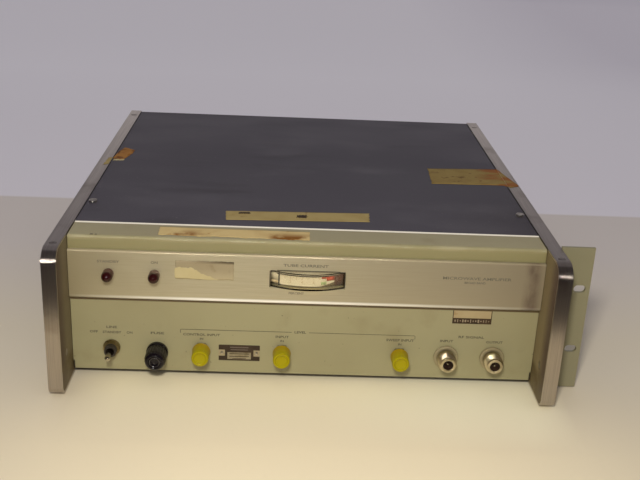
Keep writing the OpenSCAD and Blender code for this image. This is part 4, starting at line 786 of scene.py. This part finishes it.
def scale_ticks():
    """Tick marks at even angles, every fourth one long, as one printed piece."""
    along = np.linspace(-SWING, SWING, TICK_N) * SCALE_R
    long = np.arange(TICK_N) % 4 == 0
    foot, head = SCALE_HIGH - np.where(long, 4.6, 3.4), np.full(TICK_N, SCALE_HIGH - 1.8)
    half = np.where(long, 0.22, 0.14)
    u = np.stack([along - half, along + half, along + half, along - half], axis=1)
    v = np.stack([foot, foot, head, head], axis=1)
    flat = np.stack([u, v, np.full(u.shape, PRINT_T)], axis=-1).reshape(-1, 3)
    faces = np.arange(4 * TICK_N).reshape(-1, 4)
    return piece("scale_ticks", on_scale(flat), faces, "scale_soft", "scale_cream", thick=PRINT_T,
                 smooth=False)


strip("window_shadow", [[-26.0, METER_Z + 8.1], [27.0, METER_Z + 8.1]], 0.7, UPPER_Y, "scale_black")
# Painted shade: a dark olive strip down the panel's cut edge at the window's left side.
strip("window_edge_shade", [[-31.9, METER_Z - 7.4], [-31.9, METER_Z + 7.4]], 0.9, UPPER_Y, "window_olive")
# The right_end band's dark red ink is painted shade over the scale's right end.
for band in (("left_end", -0.53, -SWING, SCALE_LOW + 2.8, SCALE_HIGH - 1.0, "scale_cream"),
             ("left_foot", -0.53, -SWING, SCALE_LOW, SCALE_LOW + 2.8, "scale_tan"),
             ("right_end", 0.375, 0.52, SCALE_LOW, SCALE_HIGH - 0.9, "scale_end_shade"),
             ("top_edge", -SWING - 0.05, SWING + 0.05, SCALE_HIGH - 1.9, SCALE_HIGH - 0.8, "scale_black"),
             ("red_start", 0.19, 0.26, SCALE_HIGH - 3.6, SCALE_HIGH - 1.7, "scale_red"),
             ("red_zone", 0.26, 0.375, SCALE_HIGH - 5.6, SCALE_HIGH - 1.7, "scale_red"),
             ("green_zone", 0.18, 0.26, SCALE_LOW + 1.6, SCALE_LOW + 4.4, "scale_green")):
    scale_band(*band)
scale_ticks()
for step in range(0, 11, 2):
    digits, digit_faces = letters(str(step), 2.4)
    digits[:, 0] += (step / 10.0 - 0.5) * 2 * SWING * SCALE_R
    digits[:, 1] += SCALE_LOW + 2.6
    piece(f"scale_number_{step}", on_scale(digits), digit_faces, "scale_soft", "scale_cream", smooth=False)


# Tapes and labels

RAIL_TOP = box_mm("top_rail")[1][2] - 0.5
STEP_BEFORE = 1.5
STEP_RUN = 2.5
ROLL_BEFORE = 0.6


def ragged(t, seed, depth):
    """A torn edge along t from 0 to 1: a fixed sum of sines, with short waves shallower than long ones."""
    draw = np.random.default_rng(seed)
    waves = np.array([3.0, 7.0, 13.0, 29.0, 53.0])
    phase = draw.uniform(0.0, 2 * np.pi, len(waves))
    return depth * (np.sin(2 * np.pi * waves * t[..., None] + phase) / waves ** 0.5).sum(-1) / 1.6


def edge_at(edge, knots, s):
    """Points along an edge of straight stretches, at each s from 0 to 1."""
    return np.stack([np.interp(s, knots, edge[:, 0]), np.interp(s, knots, edge[:, 1])], axis=-1)


def patch(name, low_edge, high_edge, place, finish, slot, seed=1, torn=(0.0, 0.0, 0.0, 0.0),
          counts=(60, 14), thick=0.12):
    """A thin stuck-on patch between two edges of (u, v) points. Its sides wander by torn (start, end, low
    and high side). place turns (u, v, lift) into cabinet millimetres."""
    low_edge, high_edge = np.asarray(low_edge, float), np.asarray(high_edge, float)
    steps = np.linalg.norm(np.diff((low_edge + high_edge) / 2, axis=0), axis=1)
    knots = np.concatenate([[0.0], np.cumsum(steps) / steps.sum()])
    s, t = np.meshgrid(np.linspace(0.0, 1.0, counts[0]), np.linspace(0.0, 1.0, counts[1]), indexing="ij")
    flat = (1 - t[..., None]) * edge_at(low_edge, knots, s) + t[..., None] * edge_at(high_edge, knots, s)
    flat[..., 0] += (1 - s) * ragged(t, seed, torn[0]) + s * ragged(t, seed + 1, torn[1])
    flat[..., 1] += (1 - t) * ragged(s, seed + 2, torn[2]) + t * ragged(s, seed + 3, torn[3])
    points = place(flat[..., 0].ravel(), flat[..., 1].ravel(), np.full(s.size, thick))
    return piece(name, points, grid_faces(*counts), finish, slot, thick=thick)


def on_cover(u, v, lift):
    """On the top cover: u is x, v is y."""
    return np.stack([u, v, COVER_Z + lift], axis=1)


def band_step(outward):
    """The height of the cover's top, and of a band's top from the band's inner edge outward, with a soft
    step between them."""
    climb = np.clip((outward - (BAND_IN - STEP_BEFORE)) / STEP_RUN, 0.0, 1.0)
    return COVER_Z + climb * climb * (3 - 2 * climb) * (BAND_Z - COVER_Z)


def over_right_band(u, v, lift):
    """On the top cover, then up onto the right band's top and rolled over its outer edge."""
    over = np.clip(u - BAND_OUT + ROLL_BEFORE, 0.0, None)
    return np.stack([np.minimum(u, BAND_OUT + lift), v, band_step(u) + lift - over], axis=1)


def over_left_band(u, v, lift):
    """On the top cover and up onto the left band's top."""
    return np.stack([u, v, band_step(-u) + lift], axis=1)


def on_rail(u, v, lift):
    """On the top rail: u is x, v is y."""
    return np.stack([u, v, RAIL_TOP + lift], axis=1)


def on_upper(u, v, lift):
    """On the upper panel: u is x, v is z."""
    return np.stack([u, UPPER_Y - lift, v], axis=1)


def on_meter(u, v, lift):
    """On the meter's scale: u is along its arc, v is z."""
    return on_scale(np.stack([u, v, lift], axis=1))


patch("tape_front", [(-72.6, 88.0), (54.0, 94.0)], [(-74.0, 111.0), (55.0, 116.5)],
      on_cover, "tape_tan", "cover_paint", 11, (0.5, 0.8, 0.15, 0.15))
patch("tape_front_spot", [(-10.5, 99.0), (-2.0, 98.6)], [(-10.0, 105.4), (-1.6, 105.8)],
      on_cover, "scrap_dark", "cover_paint", 15, (1.0, 1.4, 1.0, 1.2), (16, 12), 0.2)
patch("tape_front_nick", [(-62.5, 104.4), (-52.0, 105.0)], [(-62.0, 108.6), (-52.5, 109.0)],
      on_cover, "scrap_dark", "cover_paint", 18, (1.2, 1.0, 0.8, 0.8), (18, 10), 0.2)
patch("tape_right", [(125.0, 211.2), (198.3, 213.4), (202.5, 203.5), (211.6, 209.0)],
      [(126.9, 262.6), (200.6, 268.5), (204.7, 246.0), (212.4, 211.0)],
      over_right_band, "tape_brown", "cover_paint", 21, (0.8, 0.2, 0.3, 0.3), (110, 16))
patch("tape_scrap", [(-200.2, 259.0), (-194.0, 257.0), (-189.2, 258.6), (-183.6, 280.0)],
      [(-200.4, 260.5), (-199.0, 285.0), (-195.0, 300.8), (-183.1, 292.0)],
      over_left_band, "scrap_orange", "cover_paint", 31, (0.4, 1.2, 1.2, 1.2), (30, 24))
patch("tape_scrap_edge", [(-199.5, 252.5), (-189.0, 253.5)], [(-199.5, 257.0), (-188.5, 258.5)],
      on_cover, "torn_label", "cover_paint", 35, (0.6, 0.6, 1.0, 0.6), (24, 8), 0.08)
patch("tape_scrap_band", [(-206.2, 233.0), (-201.4, 236.0)], [(-204.6, 258.0), (-200.9, 260.0)],
      over_left_band, "tape_tan", "satin_band", 41, (0.8, 0.8, 1.2, 1.2), (16, 24))
patch("rail_label", [(-126.2, 46.6), (-60.0, 46.0), (0.6, 44.8)],
      [(-126.8, 66.0), (-60.0, 65.4), (0.6, 64.5)],
      on_rail, "rail_paper", "panel_paint", 51, (0.5, 0.5, 1.5, 0.3), (160, 12))
patch("label_ghost", [(-111.0, 95.4), (-62.2, 95.4)], [(-111.0, 112.2), (-62.2, 112.2)],
      on_upper, "glue_ghost", "panel_metal", 61, (0.5, 0.5, 0.4, 0.4), thick=0.03)
patch("label_torn", [(-111.6, 96.2), (-97.0, 95.7), (-84.0, 95.3), (-75.0, 95.3)],
      [(-111.8, 105.6), (-98.5, 106.2), (-84.6, 98.8), (-75.0, 95.7)],
      on_upper, "torn_label", "panel_metal", 71, (0.6, 0.2, 0.4, 1.0), (80, 14), 0.09)
patch("rail_spot_left", [(-182.3, 42.6), (-179.3, 42.6)], [(-182.0, 44.8), (-179.6, 44.8)],
      on_rail, "window_olive", "panel_paint", 81, (0.4, 0.4, 0.4, 0.4), (12, 8), 0.05)
patch("rail_spot_right", [(-178.0, 42.7), (-176.3, 42.7)], [(-177.9, 44.5), (-176.4, 44.5)],
      on_rail, "window_olive", "panel_paint", 85, (0.3, 0.3, 0.3, 0.3), (12, 8), 0.05)
patch("scale_right_foot", [(11.5, SCALE_LOW), (23.0, SCALE_LOW)],
      [(11.5, SCALE_LOW + 0.3), (23.0, SCALE_LOW + 3.6)],
      on_meter, "window_olive", "scale_cream", counts=(12, 6), thick=0.05)


# The nameplate and the sticker

PLATE_LOW, PLATE_HIGH = np.array([-74.7, 18.2]), np.array([-39.1, 33.0])
PLATE_T = 0.5
PLATE_END = 2.7
RIVET_R = 1.35
STICKER_LOW, STICKER_HIGH = np.array([126.2, 60.0]), np.array([160.2, 72.6])
STICKER_T = 0.06
STICKER_BAR_N = 14


def slab(name, low, high, y, thick, finish, slot="panel_paint", round_r=0.2):
    """A small flat plate between two (x, z) corners on a panel at y, with rounded corners: a rounded
    rectangle carried from its face to its back, and closed by a grid of shrinking outlines."""
    low, high = np.asarray(low, float), np.asarray(high, float)
    angle = np.linspace(0.0, 2 * np.pi, 32, endpoint=False)
    side = np.stack([np.cos(angle), np.sin(angle)], axis=1)
    core = (high - low) / 2 - round_r
    outline = np.sign(np.round(side, 9)) * core + side * round_r
    shrink = np.array([0.0, 0.5, 1.0, 1.0, 0.5, 0.0])[:, None]
    face = np.array([0.0, 0.0, 0.0, 1.0, 1.0, 1.0])[:, None]
    ring = (low + high)[None, None] / 2 + shrink[..., None] * outline[None]
    points = np.stack([ring[..., 0], y - thick * (1 - face) + 0 * ring[..., 0], ring[..., 1]], axis=-1)
    return piece(name, points.reshape(-1, 3), grid_faces(6, 32, closed=True), finish, slot, smooth=False)


def nameplate():
    """A dark riveted plate: two dim bars, a silver field ruled with dark lines, and a pale cell at each
    rivet."""
    front = PANEL_Y - PLATE_T
    slab("nameplate", PLATE_LOW, PLATE_HIGH, PANEL_Y, PLATE_T, "plate_brown", round_r=0.5)
    mid_x, mid_z = (PLATE_LOW + PLATE_HIGH) / 2
    rivet = eased([[0.0, front - 0.7], [0.8, front - 0.6], [RIVET_R, front - PRINT_T], [RIVET_R, front],
                   [0.0, front]], 0.3)
    for end, x in (("left", PLATE_LOW[0] + PLATE_END), ("right", PLATE_HIGH[0] - PLATE_END)):
        slab(f"nameplate_end_{end}", (x - PLATE_END, mid_z - 3.0), (x + PLATE_END, mid_z + 2.9), front,
             PRINT_T * 2, "plate_pale")
        piece(f"nameplate_rivet_{end}", *turned(rivet, (x, 0.0, mid_z), sides=20), "screw_steel")
    for name, z, width, height, finish in (
            ("bar_high", 31.0, 16.0, 0.8, "plate_dim"), ("bar_low", 28.7, 15.0, 0.7, "plate_dim"),
            ("field", 22.9, 20.5, 6.6, "plate_silver"), ("rule_high", 24.8, 17.0, 0.6, "plate_brown"),
            ("rule_low", 22.2, 17.0, 0.6, "plate_brown"), ("rule_foot", 20.2, 12.0, 0.5, "plate_brown")):
        lift = 0.02 if finish == "plate_brown" else 0.0
        slab(f"nameplate_{name}", (mid_x - width / 2, z - height / 2), (mid_x + width / 2, z + height / 2),
             front, PRINT_T * 2 + lift, finish, "panel_metal")


def sticker():
    """A small paper sticker: a dark border, a plain cream field and a dark foot with a row of dim bars."""
    low, high, front, print_t = STICKER_LOW, STICKER_HIGH, PANEL_Y - STICKER_T, 0.04
    slab("sticker_border", low, high, PANEL_Y, STICKER_T, "scrap_dark", round_r=0.3)
    slab("sticker_field", low + (0.7, 5.4), high - (0.7, 0.1), front, print_t, "sticker_paper")
    middle_z = low[1] + 2.7
    for number, x in enumerate(np.linspace(low[0] + 2.4, high[0] - 2.4, STICKER_BAR_N)):
        tall, half = 1.0 + 0.5 * np.sin(2.3 * number), 0.55 + 0.2 * np.sin(5.1 * number)
        slab(f"sticker_bar_{number}", (x - half, middle_z - tall), (x + half, middle_z + tall), front,
             print_t, "sticker_dim")


nameplate()
sticker()


# Setting

TABLE_HALF = 4.0


def table_finish():
    """Pale table with painted light: cream in front and palest at the panel's foot, greyer towards the back
    as the light falls off, with a soft step where the wall would stand."""
    top = Finish("table_top", (224, 212, 189), 0.7)
    # Painted falloff of light: greyer towards the back.
    top.tint(top.ramp("Y", -0.10, 0.12), (221, 211, 203))
    # Painted pool of light: cream in front, palest across the middle.
    front = top.both(top.ramp("Y", -0.16, -0.30), top.ramp("Y", -1.1, -0.5))
    wide = top.math("MULTIPLY", top.along("X"), top.along("X"))
    top.tint(front, (216, 202, 175))
    top.tint(top.both(front, top.span(wide, 0.10, 0.01)), (246, 230, 194))
    # Painted light at the panel's foot, where the floor would otherwise lie in shade, brightest right of the
    # middle.
    near = top.both(top.both(top.ramp("Y", -0.29, -0.215), top.ramp("Y", -0.13, -0.17)),
                    top.span(wide, 0.045, 0.03))
    top.tint(near, (252, 239, 202))
    top.tint(top.both(near, top.ramp("X", 0.0, 0.11)), (255, 246, 212))
    top.tint(top.ramp("Y", 0.270, 0.277), (239, 233, 238))
    top.tint(top.ramp("Y", 0.30, 1.1), (255, 250, 254))
    top.tint(top.both(top.ramp("Y", 0.6, 1.4), top.ramp("X", 0.35, 0.8)), (238, 232, 239))
    return top.material


def flat_sheet(name, low, high, material, sides=(-TABLE_HALF, TABLE_HALF)):
    """A flat stage sheet from its nearest edge at low to its farthest edge at high, both (y, z), between
    the x of its sides, in the frame's metres."""
    mesh = bpy.data.meshes.new(name)
    corners = [(side, *edge) for edge in (low, high) for side in sides]
    mesh.from_pydata(corners, [], [(0, 1, 3, 2)])
    mesh.materials.append(material)
    return put(name, mesh)


table = flat_sheet("table", (-TABLE_HALF, 0.0), (TABLE_HALF, 0.0), table_finish())


def glow(name, colour, strength):
    """A plain glowing material for cards that only show in reflections seen straight from the view."""
    material = bpy.data.materials.new(name)
    material.use_nodes = True
    tree = material.node_tree
    tree.nodes.clear()
    depth = add_node(tree, "ShaderNodeLightPath", {}).outputs["Diffuse Depth"]
    first = add_node(tree, "ShaderNodeMath", {0: depth, 1: 0.5}, operation="LESS_THAN").outputs[0]
    power = add_node(tree, "ShaderNodeMath", {0: first, 1: strength}, operation="MULTIPLY").outputs[0]
    shine = add_node(tree, "ShaderNodeEmission", {"Color": linear(colour), "Strength": power})
    add_node(tree, "ShaderNodeOutputMaterial", {"Surface": shine.outputs[0]})
    return material


def reflector(obj):
    """Shows a stage card in reflections only."""
    obj.visible_camera = False
    obj.visible_diffuse = False
    obj.visible_shadow = False
    obj.visible_transmission = False


card_dark = glow("card_dark", (60, 55, 56), 1.0)
card_bright = glow("card_bright", (255, 251, 243), 180.0)
reflector(flat_sheet("dark_floor_card", (-2.4, 0.001), (-0.381, 0.001), card_dark))
reflector(flat_sheet("dark_room_card", (-2.4, 1.9), (-2.4, 0.0), card_dark))
reflector(flat_sheet("dim_ceiling_card", (-2.4, 1.9), (0.15, 1.9), glow("card_dim", (78, 73, 75), 1.0)))
reflector(flat_sheet("highlight_card", (-0.93, 0.39), (-0.93, 0.49), card_bright, (-0.14, -0.04)))
reflector(flat_sheet("pale_wall_card", (2.5, 0.0), (2.5, 0.95), glow("card_pale", (186, 180, 182), 1.0)))


# Light and camera

def room_light():
    """Even light from all round. Reflections show a dimmer room than the one that lights the part."""
    world = bpy.data.worlds.new("room")
    bpy.context.scene.world = world
    world.use_nodes = True
    tree = world.node_tree
    even = tree.nodes["Background"]
    even.inputs["Color"].default_value = linear((226, 224, 230))
    even.inputs["Strength"].default_value = 0.50
    dim = add_node(tree, "ShaderNodeBackground", {"Color": linear((128, 124, 130))})
    glossy = add_node(tree, "ShaderNodeLightPath", {}).outputs["Is Glossy Ray"]
    join = add_node(tree, "ShaderNodeMixShader", {0: glossy, 1: even.outputs[0], 2: dim.outputs[0]})
    tree.links.new(join.outputs[0], tree.nodes["World Output"].inputs["Surface"])


room_light()


def stood(right, up, back, place):
    """The matrix of a light or a camera from its three axes and its place in metres."""
    turn = np.eye(4)
    turn[:3] = np.stack([right, up, back, place], axis=1)
    return Matrix(turn.tolist())


def soft_light(name, place, target, size, power, colour):
    """A square soft light at place, turned towards target, in the frame's metres."""
    lamp = bpy.data.lights.new(name, "AREA")
    lamp.shape = "RECTANGLE"
    lamp.size, lamp.size_y = size
    lamp.energy = power
    lamp.color = linear(colour)[:3]
    obj = put(name, lamp)
    away = np.asarray(place, float) - np.asarray(target, float)
    away = away / np.linalg.norm(away)
    right = np.cross((0.0, 0.0, 1.0), away)
    right = right / np.linalg.norm(right)
    obj.matrix_world = stood(right, np.cross(away, right), away, place)
    return obj


key_light = soft_light("key_light", (-0.09, -0.93, 0.62), (0.0, -0.15, 0.06), (0.1, 0.1), 5.8,
                       (255, 251, 243))
key_light.visible_glossy = False

CAMERA_AT = (-21.485, -708.649, 426.791)
YAW, PITCH, ROLL = np.radians([-2.3074, 21.3624, -2.7092])
IMAGE_W = 640
FOCAL_PX = 968.13
SENSOR_W = 36.0


def aim(yaw, pitch, roll):
    """Camera axes as columns (right, forward, up): rolled about the view line, tipped down, then turned."""
    turn = np.array([[np.cos(yaw), -np.sin(yaw), 0], [np.sin(yaw), np.cos(yaw), 0], [0, 0, 1]])
    tip = np.array([[1, 0, 0], [0, np.cos(pitch), np.sin(pitch)], [0, -np.sin(pitch), np.cos(pitch)]])
    lean = np.array([[np.cos(roll), 0, np.sin(roll)], [0, 1, 0], [-np.sin(roll), 0, np.cos(roll)]])
    return turn @ tip @ lean


view = bpy.data.cameras.new("view")
view.sensor_width = SENSOR_W
view.sensor_fit = "HORIZONTAL"
view.lens = FOCAL_PX / IMAGE_W * SENSOR_W
camera = put("view", view)
axes = aim(YAW, PITCH, ROLL)
camera.matrix_world = stood(axes[:, 0], axes[:, 2], -axes[:, 1], row(CAMERA_AT))
bpy.context.scene.camera = camera
bpy.context.scene.view_settings.view_transform = "Standard"
